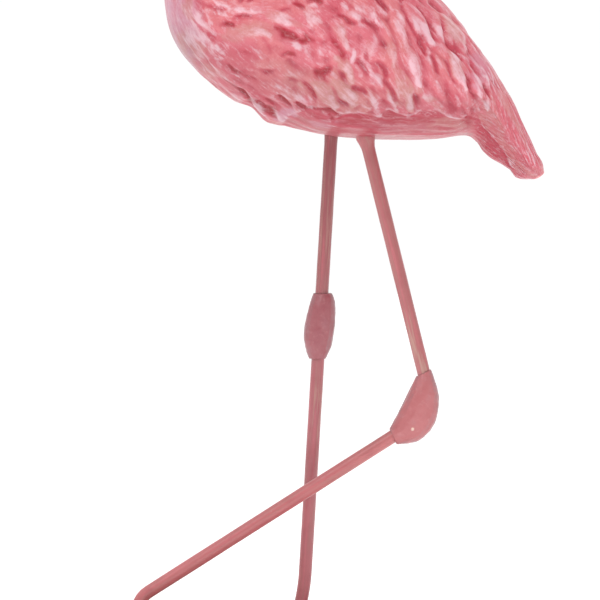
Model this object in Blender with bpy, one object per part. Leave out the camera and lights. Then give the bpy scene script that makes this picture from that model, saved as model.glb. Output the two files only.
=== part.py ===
"""Resin flamingo statue on two rod legs.

One cast piece makes the body, neck and head. Each leg is a painted rod that runs from a socket in
the belly through a cast knee into a cast webbed foot, and the feet stand on a low oval base.

Metres, +Z up. The head looks along -X, the raised leg is on the -Y side, and the origin is the
middle of the base's underside.
"""
import math
from random import Random

import bmesh
import bpy
import numpy as np
from mathutils import Vector

# Base: it reaches past the raised foot's toes, and as far the other way
BASE_TOE_MARGIN = 0.004
BASE_WIDTH = 0.116
BASE_HEIGHT = 0.012
BASE_EDGE_RADIUS = 0.004
BASE_SIDES = 36
BASE_FOOT_CHAMFER = 0.001

# Rods and what they go through
ROD_DIAMETER = 0.0066
FIT_GAP = 0.0003
REST_GAP = 0.0003
BELLY_SOCKET_DEPTH = 0.018
BASE_SOCKET_DEPTH = 0.006
RAISED_COLLAR_FLARE = 0.0016
STANDING_COLLAR_FLARE = 0.0002
COLLAR_LENGTH = 0.0065
COLLAR_INSIDE = 0.30
COLLAR_WAIST = 0.45
COLLAR_WAIST_FLARE = 0.35

# Standing leg, heights above the base's top
HIP_X = 0.0406
HIP_HEIGHT = 0.242
STANDING_BELLY_RISE = 0.0026
LEG_STANCE = 0.020
STANDING_LEAN = math.radians(3.4)
ANKLE_BEND_HEIGHT = 0.017
ANKLE_LEAN = math.radians(11)

# Raised leg
HIP_SPACING = 0.0175
RAISED_BELLY_RISE = 0.0003
THIGH_LEAN = math.radians(13.9)
RAISED_KNEE_HEIGHT = 0.1066
KNEE_BEND_RADIUS = 0.010
RAISED_ANKLE_HEIGHT = 0.0158
SHANK_SLOPE = math.radians(32.5)
TOE_CURL_RADIUS = 0.012
TOE_CURL_SLOPE = math.radians(70)
RAISED_ROD_STOP = 0.0035

# Cast knees
KNEE_LIP = 0.0004
KNEE_SECTIONS = 12
KNEE_SIDES = 14
STANDING_KNEE_SPREAD = 1.8
STANDING_KNEE_HEIGHT = 0.1485
STANDING_KNEE_LENGTH = 0.0332
STANDING_KNEE_DEPTH = 0.0150
RAISED_KNEE_ABOVE = 0.0206
RAISED_KNEE_BELOW = 0.0250
RAISED_KNEE_SKEW = 0.0016
RAISED_KNEE_BULGE = 0.0122
RAISED_KNEE_DEPTH = 0.0150

# Cast feet
ANKLE_HEIGHT = 0.0085
ANKLE_WALL = 0.0014
TOE_LENGTH = 0.033
TOE_SPREAD = math.radians(27)
TOE_RADIUS = 0.0032
TOE_TIP_RADIUS = 0.0016
WEB_THICKNESS = 0.0020
HIND_TOE_LENGTH = 0.011
MIDDLE_TOE = 1.08
KNUCKLE_SWELL = 1.12
TOE_TIP_TAPER = 0.55
TOE_ARCH = 0.30
TOE_SINK = 0.55
WEB_REACH = 0.88
WEB_DIP = 0.16
WEB_STEPS = 6
# Ankle from the sole up: how far behind the rod, height, and thickness, as shares of the
# ankle's height and its radius there
ANKLE_SHAPE = [(-0.38, -0.19, 1.25), (-0.10, 0.38, 1.10), (0.10, 0.60, 1.00), (0.19, 1.00, 0.94)]

# Body, neck and head
BODY_LENGTH = 0.190
BODY_WIDTH = 0.092
RING_STEP = 0.0040
NECK_RING_STEP = 0.0086
NECK_SIDES = 22
BODY_SIDES = 2 * NECK_SIDES
EYE_RADIUS = 0.0026
EYE_SINK = 0.4

# In the lower half of the body: how full the belly's corners are, how far the tail's underside
# is drawn in, and where each starts, ends and fades along the body, in units
BELLY_FLATNESS = 0.23
BELLY_START = -24.0
BELLY_END = 72.0
BELLY_FADE_IN = 16.0
BELLY_FADE_OUT = 10.0
TAIL_UNDERCUT = 0.30
TAIL_START = 58.0
TAIL_FADE_IN = 14.0

# Feathers: the rows' pitch along the body, their spacing around it, how far the tips stand
# out, and the step at the lower edge of the plumage
FEATHER_PITCH = 0.0145
FEATHER_SPACING = 0.0200
FEATHER_RISE = 0.0046
PLUMAGE_STEP = 0.0016

SKIN_PINK = (0.72, 0.22, 0.26)
LEG_ROSE = (0.50, 0.17, 0.19)
BASE_ROSE = (0.42, 0.26, 0.22)

# The figure's outline as shares of its length: one unit is a 190th of BODY_LENGTH.
# Each section runs from the underside to the back, seen from the side, measured from the
# point where the standing leg meets the belly, with its half width as a share of BODY_WIDTH.
BODY_SECTIONS = [
    (101.0, -19.6, 106.9, -15.8, 0.045),
    (94.5, -19.0, 105.8, -11.5, 0.095),
    (90.0, -15.5, 102.8, -6.5, 0.130),
    (85.5, -12.5, 99.5, 0.5, 0.163),
    (80.5, -9.8, 95.8, 8.5, 0.200),
    (76.0, -6.0, 92.0, 16.8, 0.245),
    (72.5, -1.2, 87.5, 25.0, 0.295),
    (67.5, 1.8, 80.5, 36.8, 0.360),
    (56.0, 0.9, 71.2, 49.2, 0.413),
    (42.0, 0.4, 62.1, 61.7, 0.456),
    (26.0, 0.3, 49.5, 76.1, 0.484),
    (9.0, 0.5, 33.6, 91.6, 0.500),
    (-7.0, 3.0, 15.6, 102.0, 0.500),
    (-21.0, 6.5, -2.0, 106.8, 0.484),
    (-34.0, 11.2, -17.0, 107.2, 0.462),
    (-47.5, 19.0, -28.0, 105.6, 0.435),
    (-59.5, 27.5, -35.5, 104.0, 0.402),
    (-69.0, 36.8, -41.0, 104.0, 0.370),
    (-76.5, 46.5, -45.5, 105.5, 0.337),
    (-81.5, 57.5, -49.0, 108.0, 0.300),
    (-83.5, 70.5, -52.2, 111.5, 0.262),
    (-84.3, 84.0, -54.8, 116.0, 0.225),
]
NECK_SECTIONS = [
    (-84.3, 97.0, -57.0, 121.5, 0.191),
    (-83.8, 110.0, -58.4, 128.0, 0.162),
    (-82.2, 123.4, -58.8, 134.6, 0.140),
    (-80.4, 136.0, -57.6, 141.0, 0.126),
    (-77.5, 148.0, -55.6, 148.0, 0.118),
    (-73.0, 160.2, -53.0, 154.8, 0.112),
]
# Centre of the upper neck, head and bill, with the half depth and the half width there.
HEAD_CENTRES = [
    (-58.5, 167.0, 10.0, 10.0),
    (-50.5, 184.0, 9.4, 9.4),
    (-43.5, 202.5, 8.9, 8.9),
    (-39.0, 222.0, 8.5, 8.5),
    (-38.5, 241.0, 8.3, 8.1),
    (-43.0, 258.0, 8.3, 8.0),
    (-52.0, 271.5, 9.2, 8.4),
    (-62.5, 280.0, 11.8, 9.6),
    (-73.0, 284.0, 14.8, 11.2),
    (-84.0, 283.6, 15.8, 11.8),
    (-94.0, 279.4, 14.0, 10.8),
    (-102.0, 273.6, 10.8, 8.6),
    (-108.5, 267.0, 9.4, 7.0),
    (-114.5, 259.0, 9.8, 6.4),
    (-119.0, 249.8, 10.0, 6.0),
    (-121.3, 240.5, 8.6, 5.4),
    (-120.3, 232.0, 6.0, 4.4),
    (-117.3, 225.6, 3.5, 3.0),
    (-113.8, 221.2, 1.5, 1.6),
]
EYE_PLACE = (-91.0, 284.5)
EYE_SIDE = 10.6

# Lower edge of the feathers, seen from the side: under the breast it lies below the body, then
# it runs along the belly and down the underside of the tail.
PLUMAGE_EDGE = [(-90, -50), (-30, 0), (-21, 11.5), (-11, 15), (-1, 8), (6, 12), (36, 10),
                (50, 14.5), (63, 10.5), (73, 11), (81, 1), (87, -7), (91, -16), (110, -40)]

# Shape of the knees: shares of each lump's length, and how far it reaches to the left and to
# the right of the rod, as shares of its depth, beyond the lip around the rod.
STANDING_KNEE_SHAPE = [
    (0.00, 0.04, 0.20, 0.10),
    (0.12, 0.24, 0.46, 0.60),
    (0.30, 0.48, 0.56, 0.88),
    (0.52, 0.62, 0.60, 1.00),
    (0.66, 0.62, 0.50, 0.95),
    (0.82, 0.46, 0.36, 0.66),
    (1.00, 0.10, 0.02, 0.08),
]
RAISED_KNEE_SHAPE = [
    (0.00, 0.00, 0.00),
    (0.13, 0.42, 0.52),
    (0.28, 0.80, 0.84),
    (0.45, 1.04, 1.00),
    (0.62, 1.10, 0.98),
    (0.78, 0.98, 0.80),
    (0.90, 0.66, 0.48),
    (1.00, 0.05, 0.00),
]

UNIT = BODY_LENGTH / 190.0
ROD_RADIUS = ROD_DIAMETER / 2.0
STANDING_Y = LEG_STANCE / 2.0
RAISED_Y = -LEG_STANCE / 2.0
TOP_Z = BASE_HEIGHT


def clear_scene():
    for obj in list(bpy.data.objects):
        bpy.data.objects.remove(obj, do_unlink=True)


def new_collection(name):
    collection = bpy.data.collections.new(name)
    bpy.context.scene.collection.children.link(collection)
    return collection


def paint(name, colour, roughness, metallic=0.0):
    material = bpy.data.materials.new(name)
    material.use_nodes = True
    shader = material.node_tree.nodes["Principled BSDF"]
    shader.inputs["Base Color"].default_value = (*colour, 1.0)
    shader.inputs["Roughness"].default_value = roughness
    shader.inputs["Metallic"].default_value = metallic
    return material


def mesh_object(name, mesh, collection, material=None):
    obj = bpy.data.objects.new(name, mesh)
    collection.objects.link(obj)
    if material is not None:
        obj.data.materials.append(material)
    return obj


def smooth(values, steps):
    """Points on a Catmull-Rom curve through the rows of values, at fractional row numbers."""
    rows = np.asarray(values, float)
    first = 2 * rows[0] - rows[1]
    last = 2 * rows[-1] - rows[-2]
    padded = np.vstack([first, rows, last])
    steps = np.clip(steps, 0, len(rows) - 1 - 1e-9)
    index = steps.astype(int)
    t = (steps - index)[:, None]
    a, b, c, d = (padded[index + k] for k in range(4))
    return 0.5 * (2 * b + (c - a) * t + (2 * a - 5 * b + 4 * c - d) * t**2
                  + (3 * b - a - 3 * c + d) * t**3)


def spaced(rows, step):
    """The curve through the rows, resampled so that its middle line moves one step a time."""
    fine = np.linspace(0, len(rows) - 1, 40 * len(rows))
    points = smooth(rows, fine)
    middle = (points[:, 0:2] + points[:, 2:4]) / 2
    travelled = np.concatenate([[0], np.cumsum(np.linalg.norm(np.diff(middle, axis=0), axis=1))])
    count = max(2, round(travelled[-1] / step))
    wanted = np.linspace(0, travelled[-1], count + 1)
    return smooth(rows, np.interp(wanted, travelled, fine))


def figure_sections():
    """All sections in metres: underside x and z, back x and z, and the half width."""
    body = np.array(BODY_SECTIONS)
    neck = np.array(NECK_SECTIONS)
    for table in (body, neck):
        table[:, :4] *= UNIT
        table[:, 4] *= BODY_WIDTH
    centres = np.array(HEAD_CENTRES)
    along = np.gradient(centres[:, :2], axis=0)
    along /= np.linalg.norm(along, axis=1)[:, None]
    to_back = np.stack([along[:, 1], -along[:, 0]], axis=1)
    depth = centres[:, 2:3]
    under = centres[:, :2] - to_back * depth
    back = centres[:, :2] + to_back * depth
    head = np.hstack([under, back, centres[:, 3:4]]) * UNIT
    return body, np.vstack([neck, head])


def ring_points(sections, sides, flat=0.0, undercut=0.0):
    """One closed ring of points for each section, starting at the back.

    In the lower half of a section, flat fills out its corners, and an undercut draws it in by
    that share of its width. Both may differ from section to section.
    """
    under = sections[:, None, 0:2]
    back = sections[:, None, 2:4]
    angle = 2 * math.pi * np.arange(sides) / sides
    up = np.cos(angle)[None, :]
    out = np.sin(angle)[None, :]
    power = np.where(up < 0, 1 - np.broadcast_to(flat, len(sections))[:, None], 1.0)
    lower = np.broadcast_to(undercut, len(sections))[:, None] * smoothstep(0.2 - 1.6 * up)
    up = np.sign(up) * np.abs(up) ** power
    out = np.sign(out) * np.abs(out) ** power
    middle = (under + back) / 2
    side_view = middle + (back - under) / 2 * up[:, :, None]
    across = sections[:, 4:5] * out * (1 - lower)
    return np.stack([side_view[:, :, 0], across, side_view[:, :, 1]], axis=2)


def smoothstep(value):
    value = np.clip(value, 0, 1)
    return value * value * (3 - 2 * value)


def surface_frames(rings):
    """Outward normal, and direction towards the tail, at each ring point."""
    towards_tail = -np.gradient(rings, axis=0)
    around = np.roll(rings, -1, axis=1) - np.roll(rings, 1, axis=1)
    normal = np.cross(around, towards_tail)
    normal /= np.linalg.norm(normal, axis=2)[:, :, None] + 1e-12
    towards_tail /= np.linalg.norm(towards_tail, axis=2)[:, :, None] + 1e-12
    outward = rings - rings.mean(axis=1)[:, None, :]
    flip = np.sign((normal * outward).sum(axis=2).mean())
    return normal * flip, towards_tail


def feather_style(x, z):
    """Length, half width, rise, sag and wander of a feather at a place on the side view."""
    if x > 70:
        return 2.2, 0.30, 0.40, 0.0, 0.06
    if x > 24:
        return 2.0, 0.40, 0.90, 0.50, 0.15
    if x > -26:
        return 1.6, 0.44, 1.00, 0.15, 0.60
    if z > 95:
        return 1.4, 0.45, 0.30, 0.0, 0.20
    if x > -60:
        return 1.9, 0.40, 0.60, 0.20, 0.35
    return 1.6, 0.45, 0.25, 0.0, 0.20


def feather_rise(rings, normal, towards_tail):
    """Height of overlapping feathers, each a low wedge that ends in a rounded tip."""
    sides = rings.shape[1]
    points = rings.reshape(-1, 3)
    rise = np.zeros(len(points))
    rows_apart = max(1, round(FEATHER_PITCH / RING_STEP))
    jitter = Random(7)
    for row, ring in enumerate(range(2, len(rings), rows_apart)):
        girth = np.linalg.norm(np.roll(rings[ring], -1, axis=0) - rings[ring], axis=1).sum()
        count = max(4, 2 * round(girth / FEATHER_SPACING / 2))
        for k in range(count):
            index = int((k + 0.5 * (row % 2)) / count * sides) % sides
            centre = rings[ring, index]
            long, wide, high, sag, wander = feather_style(centre[0] / UNIT, centre[2] / UNIT)
            out = normal[ring, index]
            forward = towards_tail[ring, index] - np.array([0, 0, sag])
            forward -= out * (forward @ out)
            forward /= np.linalg.norm(forward)
            turn = jitter.uniform(-wander, wander)
            forward = forward * math.cos(turn) + np.cross(out, forward) * math.sin(turn)
            side = np.cross(out, forward)
            length = FEATHER_PITCH * long * jitter.uniform(0.9, 1.1)
            half_width = FEATHER_SPACING * wide * jitter.uniform(0.9, 1.1)
            height = FEATHER_RISE * high * jitter.uniform(0.8, 1.0)
            offset = points - centre
            u = offset @ forward / length
            v = offset @ side / half_width
            inside = (np.abs(offset @ out) < length) & (u > -0.6) & (u < 0.5) & (np.abs(v) < 1)
            tip = 0.5 - 0.35 * v[inside] ** 2
            along = np.clip((u[inside] + 0.6) / (tip + 0.6), 0, None)
            wedge = np.where(along <= 1, along, 0)
            crown = np.sqrt(1 - v[inside] ** 2)
            rise[inside] = np.maximum(rise[inside], height * wedge * crown)
    return rise.reshape(rings.shape[:2])


def feathered(rings):
    """Body rings with their feathers, which stop at the plumage's edge and on the neck."""
    normal, towards_tail = surface_frames(rings)
    rise = feather_rise(rings, normal, towards_tail)
    places = rings.reshape(-1, 3) / UNIT
    share = np.array([feather_style(x, z)[2] for x, y, z in places]).reshape(rise.shape)
    edge_x, edge_z = np.array(PLUMAGE_EDGE, float).T * UNIT
    edge = np.interp(rings[:, :, 0], edge_x, edge_z)
    cover = smoothstep((rings[:, :, 2] - edge) / PLUMAGE_STEP)
    from_neck = np.arange(len(rings))[::-1, None] * RING_STEP
    from_tip = np.arange(len(rings))[:, None] * RING_STEP
    fade = smoothstep(from_neck / (2 * FEATHER_PITCH)) * smoothstep(from_tip / FEATHER_PITCH)
    lift = (rise - 0.5 * FEATHER_RISE * share) * fade + PLUMAGE_STEP * 0.5 * fade
    return rings + normal * (lift * cover)[:, :, None]


def figure_mesh(body, head):
    """One closed skin over the body rings and the coarser neck and head rings."""
    bm = bmesh.new()
    fine = [[bm.verts.new(point) for point in ring] for ring in body]
    coarse = [[bm.verts.new(point) for point in ring] for ring in head]
    for low, high in list(zip(fine, fine[1:])) + list(zip(coarse, coarse[1:])):
        count = len(low)
        for k in range(count):
            n = (k + 1) % count
            bm.faces.new((low[k], low[n], high[n], high[k]))
    last = fine[-1]
    first = coarse[0]
    for k in range(len(first)):
        n = (k + 1) % len(first)
        a, b, c = last[2 * k], last[2 * k + 1], last[(2 * k + 2) % len(last)]
        bm.faces.new((a, b, first[k]))
        bm.faces.new((b, c, first[n]))
        bm.faces.new((b, first[n], first[k]))
    bm.faces.new(fine[0])
    bm.faces.new(coarse[-1])
    bmesh.ops.recalc_face_normals(bm, faces=bm.faces)
    bmesh.ops.translate(bm, verts=bm.verts, vec=(HIP_X, 0, TOP_Z + HIP_HEIGHT))
    mesh = bpy.data.meshes.new("figure")
    bm.to_mesh(mesh)
    bm.free()
    mesh.shade_smooth()
    return mesh


def loft(name, sections, y, sides, collection, material):
    """Closed lump through side-view sections (left x, z, right x, z, half depth)."""
    rings = ring_points(np.array(sections), sides)
    bm = bmesh.new()
    loops = [[bm.verts.new((p[0], p[1] + y, p[2])) for p in ring] for ring in rings]
    for low, high in zip(loops, loops[1:]):
        for k in range(sides):
            n = (k + 1) % sides
            bm.faces.new((low[k], low[n], high[n], high[k]))
    bm.faces.new(loops[0])
    bm.faces.new(loops[-1])
    bmesh.ops.recalc_face_normals(bm, faces=bm.faces)
    mesh = bpy.data.meshes.new(name)
    bm.to_mesh(mesh)
    bm.free()
    mesh.shade_smooth()
    return mesh_object(name, mesh, collection, material)


def tube(name, points, radii, collection, material=None, resolution=4):
    """Curve object with filled caps, as thick at each point as its radius says."""
    curve = bpy.data.curves.new(name, "CURVE")
    curve.dimensions = "3D"
    curve.bevel_depth = 1.0
    curve.bevel_resolution = resolution
    curve.use_fill_caps = True
    spline = curve.splines.new("POLY")
    spline.points.add(len(points) - 1)
    for point, place, radius in zip(spline.points, points, radii):
        point.co = (*place, 1.0)
        point.radius = radius
    obj = bpy.data.objects.new(name, curve)
    collection.objects.link(obj)
    if material is not None:
        curve.materials.append(material)
    return obj


def as_mesh(obj, collection):
    """The same object as a welded mesh; the curve is removed."""
    bpy.context.view_layer.update()
    depsgraph = bpy.context.evaluated_depsgraph_get()
    mesh = bpy.data.meshes.new_from_object(obj.evaluated_get(depsgraph))
    bm = bmesh.new()
    bm.from_mesh(mesh)
    bmesh.ops.remove_doubles(bm, verts=bm.verts, dist=1e-6)
    bmesh.ops.recalc_face_normals(bm, faces=bm.faces)
    bm.to_mesh(mesh)
    bm.free()
    name = obj.name
    placed = bpy.data.objects.new(name + "_solid", mesh)
    placed.matrix_world = obj.matrix_world
    collection.objects.link(placed)
    bpy.data.objects.remove(obj, do_unlink=True)
    placed.name = name
    return placed


def as_cutter(obj):
    obj.hide_render = True
    obj.display_type = "WIRE"
    return obj


def add_boolean(obj, other, operation):
    modifier = obj.modifiers.new(operation.title(), "BOOLEAN")
    modifier.operation = operation
    modifier.object = other
    modifier.solver = "EXACT"


def down_to(start, z, direction, slope):
    """Where a straight run that falls at a slope, towards -X or +X, reaches a height."""
    return start[0] + direction * (start[1] - z) / math.tan(slope), z


def rounded_path(corners, radius, steps):
    """Corner points in the side view, with the middle one replaced by an arc."""
    before, corner, after = (Vector(c) for c in corners)
    back = (before - corner).normalized()
    ahead = (after - corner).normalized()
    half = back.angle(ahead) / 2
    reach = radius / math.tan(half)
    centre = corner + (back + ahead).normalized() * radius / math.sin(half)
    start = corner + back * reach - centre
    end = corner + ahead * reach - centre
    sweep = start.angle(end)
    arc = []
    for k in range(steps + 1):
        t = k / steps
        point = (start * math.sin((1 - t) * sweep) + end * math.sin(t * sweep)) / math.sin(sweep)
        arc.append(centre + point)
    return arc


def standing_path():
    """Side-view points of the standing rod, from inside the belly down into the base."""
    tan = math.tan(STANDING_LEAN)
    hip_z = TOP_Z + HIP_HEIGHT
    bend_z = TOP_Z + ANKLE_BEND_HEIGHT
    top = (HIP_X + BELLY_SOCKET_DEPTH * tan, hip_z + BELLY_SOCKET_DEPTH)
    bend = (HIP_X - (hip_z - bend_z) * tan, bend_z)
    drop = ANKLE_BEND_HEIGHT + BASE_SOCKET_DEPTH
    end = (bend[0] - drop * math.tan(ANKLE_LEAN), bend_z - drop)
    return [top, bend, end]


def standing_ankle_x():
    """Middle of the standing rod where it enters its foot."""
    bend = standing_path()[1]
    return bend[0] - ANKLE_BEND_HEIGHT * math.tan(ANKLE_LEAN)


def raised_corners():
    """Side-view points of the raised leg's hip, knee corner and ankle."""
    hip = (HIP_X + HIP_SPACING, TOP_Z + HIP_HEIGHT)
    knee = down_to(hip, TOP_Z + RAISED_KNEE_HEIGHT, 1, math.pi / 2 - THIGH_LEAN)
    ankle = down_to(knee, TOP_Z + RAISED_ANKLE_HEIGHT, -1, SHANK_SLOPE)
    return hip, knee, ankle


def raised_path():
    """Side-view points of the raised rod: into the belly, round the knee, curled to the foot."""
    hip, knee, ankle = raised_corners()
    top = down_to(hip, hip[1] + BELLY_SOCKET_DEPTH, 1, math.pi / 2 - THIGH_LEAN)
    points = [top] + rounded_path((hip, knee, ankle), KNEE_BEND_RADIUS, 8)
    for k in range(6):
        slope = SHANK_SLOPE + (TOE_CURL_SLOPE - SHANK_SLOPE) * k / 5
        x = ankle[0] - TOE_CURL_RADIUS * (math.sin(slope) - math.sin(SHANK_SLOPE))
        z = ankle[1] - TOE_CURL_RADIUS * (math.cos(SHANK_SLOPE) - math.cos(slope))
        points.append((x, z))
    return points + [down_to(points[-1], TOP_Z + RAISED_ROD_STOP, -1, TOE_CURL_SLOPE)]


def with_collar(path, belly_z, flare):
    """Path points and radii, with the flared collar below the belly put into the first run."""
    top = Vector(path[0])
    along = (Vector(path[1]) - top).normalized()
    seat = top + along * (top.y - belly_z) / -along.y
    foot = seat + along * COLLAR_LENGTH
    middle = seat + along * COLLAR_LENGTH * COLLAR_WAIST
    inner = seat - along * COLLAR_LENGTH * COLLAR_INSIDE
    points = [top, inner, seat, middle, foot] + [Vector(p) for p in path[1:]]
    swell = [0, 0, flare, flare * COLLAR_WAIST_FLARE, 0] + [0] * (len(path) - 1)
    return points, swell


def rods(parts, cutters, material):
    """Both leg rods, and for each a slightly thicker copy that cuts its sockets and bores."""
    made = {}
    standing = (standing_path(), STANDING_Y, STANDING_BELLY_RISE, STANDING_COLLAR_FLARE)
    raised = (raised_path(), RAISED_Y, RAISED_BELLY_RISE, RAISED_COLLAR_FLARE)
    for name, (path, y, belly, flare) in (("standing_leg", standing), ("raised_leg", raised)):
        points, swell = with_collar(path, TOP_Z + HIP_HEIGHT + belly, flare)
        places = [(p[0], y, p[1]) for p in points]
        radii = [ROD_RADIUS + s for s in swell]
        tube(name, places, radii, parts, material)
        along = (Vector(places[0]) - Vector(places[1])).normalized()
        ahead = (Vector(places[-1]) - Vector(places[-2])).normalized()
        places[0] = tuple(Vector(places[0]) + along * FIT_GAP)
        places[-1] = tuple(Vector(places[-1]) + ahead * FIT_GAP)
        loose = tube(name + "_bore", places, [r + FIT_GAP for r in radii], cutters)
        made[name] = as_cutter(as_mesh(loose, cutters))
    return made


def make_body(parts, cutters, material, bores):
    body_sections, head_sections = figure_sections()
    body_sections = spaced(body_sections, RING_STEP)
    place = body_sections[:, 0] / UNIT
    fullness = smoothstep((place - BELLY_START) / BELLY_FADE_IN)
    fullness *= smoothstep((BELLY_END - place) / BELLY_FADE_OUT)
    flat = BELLY_FLATNESS * fullness
    undercut = TAIL_UNDERCUT * smoothstep((place - TAIL_START) / TAIL_FADE_IN)
    body_rings = ring_points(body_sections, BODY_SIDES, flat, undercut)
    head_rings = ring_points(spaced(head_sections, NECK_RING_STEP), NECK_SIDES)
    mesh = figure_mesh(feathered(body_rings), head_rings)
    body = mesh_object("body", mesh, parts, material)
    eyes = []
    for side in (-1, 1):
        bpy.ops.mesh.primitive_uv_sphere_add(segments=10, ring_count=6, radius=EYE_RADIUS)
        eye = bpy.context.object
        eye.name = "eye_left" if side > 0 else "eye_right"
        x = HIP_X + EYE_PLACE[0] * UNIT
        z = TOP_Z + HIP_HEIGHT + EYE_PLACE[1] * UNIT
        eye.location = (x, side * (EYE_SIDE * UNIT - EYE_SINK * EYE_RADIUS), z)
        for collection in list(eye.users_collection):
            collection.objects.unlink(eye)
        cutters.objects.link(eye)
        eyes.append(as_cutter(eye))
    for eye in eyes:
        add_boolean(body, eye, "UNION")
    for bore in bores.values():
        add_boolean(body, bore, "DIFFERENCE")


def make_standing_knee(parts, material, bore):
    """Spindle-shaped lump around the standing rod."""
    tan = math.tan(STANDING_LEAN)
    wall = ROD_RADIUS + FIT_GAP + KNEE_LIP
    room = STANDING_KNEE_DEPTH / 2 - wall
    spread = room * STANDING_KNEE_SPREAD
    sections = []
    for share, left, right, depth in STANDING_KNEE_SHAPE:
        z = TOP_Z + STANDING_KNEE_HEIGHT + STANDING_KNEE_LENGTH * (0.5 - share)
        x = HIP_X - (TOP_Z + HIP_HEIGHT - z) * tan
        sections.append((x - wall - left * spread, z, x + wall + right * spread, z,
                         wall + room * depth))
    knee = loft("standing_knee", spaced_lump(sections), STANDING_Y, KNEE_SIDES, parts, material)
    add_boolean(knee, bore, "DIFFERENCE")


def spaced_lump(sections):
    return smooth(sections, np.linspace(0, len(sections) - 1, KNEE_SECTIONS))


def make_raised_knee(parts, material, bore):
    """Half-moon lump over the bend: straight along the hollow of the bend, full outside it."""
    hip, knee, ankle = (Vector(corner) for corner in raised_corners())
    up = (hip - knee).normalized()
    down = (ankle - knee).normalized()
    wall = ROD_RADIUS + FIT_GAP + KNEE_LIP
    bisector = (up + down).normalized()
    inwards_up = side_of(up, bisector) * wall
    inwards_down = side_of(down, bisector) * wall
    inner_top = knee + up * (RAISED_KNEE_ABOVE - RAISED_KNEE_SKEW) + inwards_up
    inner_low = knee + down * (RAISED_KNEE_BELOW - RAISED_KNEE_SKEW) + inwards_down
    outer_top = knee + up * RAISED_KNEE_ABOVE - inwards_up
    outer_low = knee + down * RAISED_KNEE_BELOW - inwards_down
    sections = []
    for share, bulge, depth in RAISED_KNEE_SHAPE:
        inner = inner_top.lerp(inner_low, share)
        outer = outer_top.lerp(outer_low, share) - bisector * RAISED_KNEE_BULGE * bulge
        half_depth = wall + (RAISED_KNEE_DEPTH / 2 - wall) * depth
        sections.append((inner.x, inner.y, outer.x, outer.y, half_depth))
    lump = loft("raised_knee", spaced_lump(sections), RAISED_Y, KNEE_SIDES, parts, material)
    add_boolean(lump, bore, "DIFFERENCE")


def side_of(along, towards):
    """Unit vector square to a rod, on the side that a second direction points to."""
    across = Vector((along.y, -along.x))
    return across if across.dot(towards) > 0 else -across


def web_outline(ankle_x, y):
    """Plan of the web: from the ankle along the outer toes, scalloped between the toe tips."""
    points = [(ankle_x + ANKLE_HEIGHT * ANKLE_SHAPE[-1][0], y)]
    for k in range(2 * WEB_STEPS + 1):
        angle = TOE_SPREAD * (k / WEB_STEPS - 1)
        dip = WEB_DIP * math.sin(math.pi * (k % WEB_STEPS) / WEB_STEPS)
        reach = TOE_LENGTH * (WEB_REACH - dip)
        points.append((ankle_x - reach * math.cos(angle), y + reach * math.sin(angle)))
    return points


def make_foot(name, ankle_x, y, parts, cutters, material, bore):
    """Webbed foot cast around the lower end of a rod, flat underneath."""
    floor_z = TOP_Z + REST_GAP
    ankle_radius = ROD_RADIUS + FIT_GAP + ANKLE_WALL
    stem = [(ankle_x + ANKLE_HEIGHT * behind, y, floor_z + ANKLE_HEIGHT * up)
            for behind, up, thick in ANKLE_SHAPE]
    thickness = [ankle_radius * thick for behind, up, thick in ANKLE_SHAPE]
    foot = as_mesh(tube(name, stem, thickness, parts, material), parts)
    foot.data.materials.clear()
    foot.data.materials.append(material)
    angles = [(-TOE_SPREAD, TOE_LENGTH), (0.0, TOE_LENGTH * MIDDLE_TOE), (TOE_SPREAD, TOE_LENGTH)]
    for number, (angle, length) in enumerate(angles + [(math.pi, HIND_TOE_LENGTH)]):
        places = []
        radii = []
        for share in (0.0, 0.25, 0.5, 0.75, 1.0):
            radius = TOE_RADIUS + (TOE_TIP_RADIUS - TOE_RADIUS) * share
            knuckle = KNUCKLE_SWELL if share == 0.5 else 1.0
            tip = TOE_TIP_TAPER if share == 1.0 else 1.0
            lift = (1 - share) ** 2 * ANKLE_HEIGHT * TOE_ARCH
            places.append((ankle_x - length * share * math.cos(angle),
                           y + length * share * math.sin(angle),
                           floor_z + radius * TOE_SINK + lift))
            radii.append(radius * knuckle * tip)
        toe = as_mesh(tube(f"{name}_toe_{number}", places, radii, cutters, resolution=1), cutters)
        add_boolean(foot, as_cutter(toe), "UNION")
    outline = web_outline(ankle_x, y)
    bm = bmesh.new()
    low = [bm.verts.new((x, py, floor_z - 0.001)) for x, py in outline]
    face = bm.faces.new(low)
    extruded = bmesh.ops.extrude_face_region(bm, geom=[face])
    raised = [v for v in extruded["geom"] if isinstance(v, bmesh.types.BMVert)]
    bmesh.ops.translate(bm, verts=raised, vec=(0, 0, WEB_THICKNESS + 0.001))
    bmesh.ops.recalc_face_normals(bm, faces=bm.faces)
    mesh = bpy.data.meshes.new(name + "_web")
    bm.to_mesh(mesh)
    bm.free()
    web = as_cutter(mesh_object(name + "_web", mesh, cutters))
    add_boolean(foot, web, "UNION")
    ground = block(name + "_ground", (ankle_x, y, floor_z - 0.01), (0.2, 0.2, 0.02), cutters)
    add_boolean(foot, ground, "DIFFERENCE")
    add_boolean(foot, bore, "DIFFERENCE")


def block(name, centre, size, collection):
    bm = bmesh.new()
    bmesh.ops.create_cube(bm, size=1.0)
    bmesh.ops.scale(bm, vec=size, verts=bm.verts)
    bmesh.ops.translate(bm, vec=centre, verts=bm.verts)
    mesh = bpy.data.meshes.new(name)
    bm.to_mesh(mesh)
    bm.free()
    return as_cutter(mesh_object(name, mesh, collection))


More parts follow.
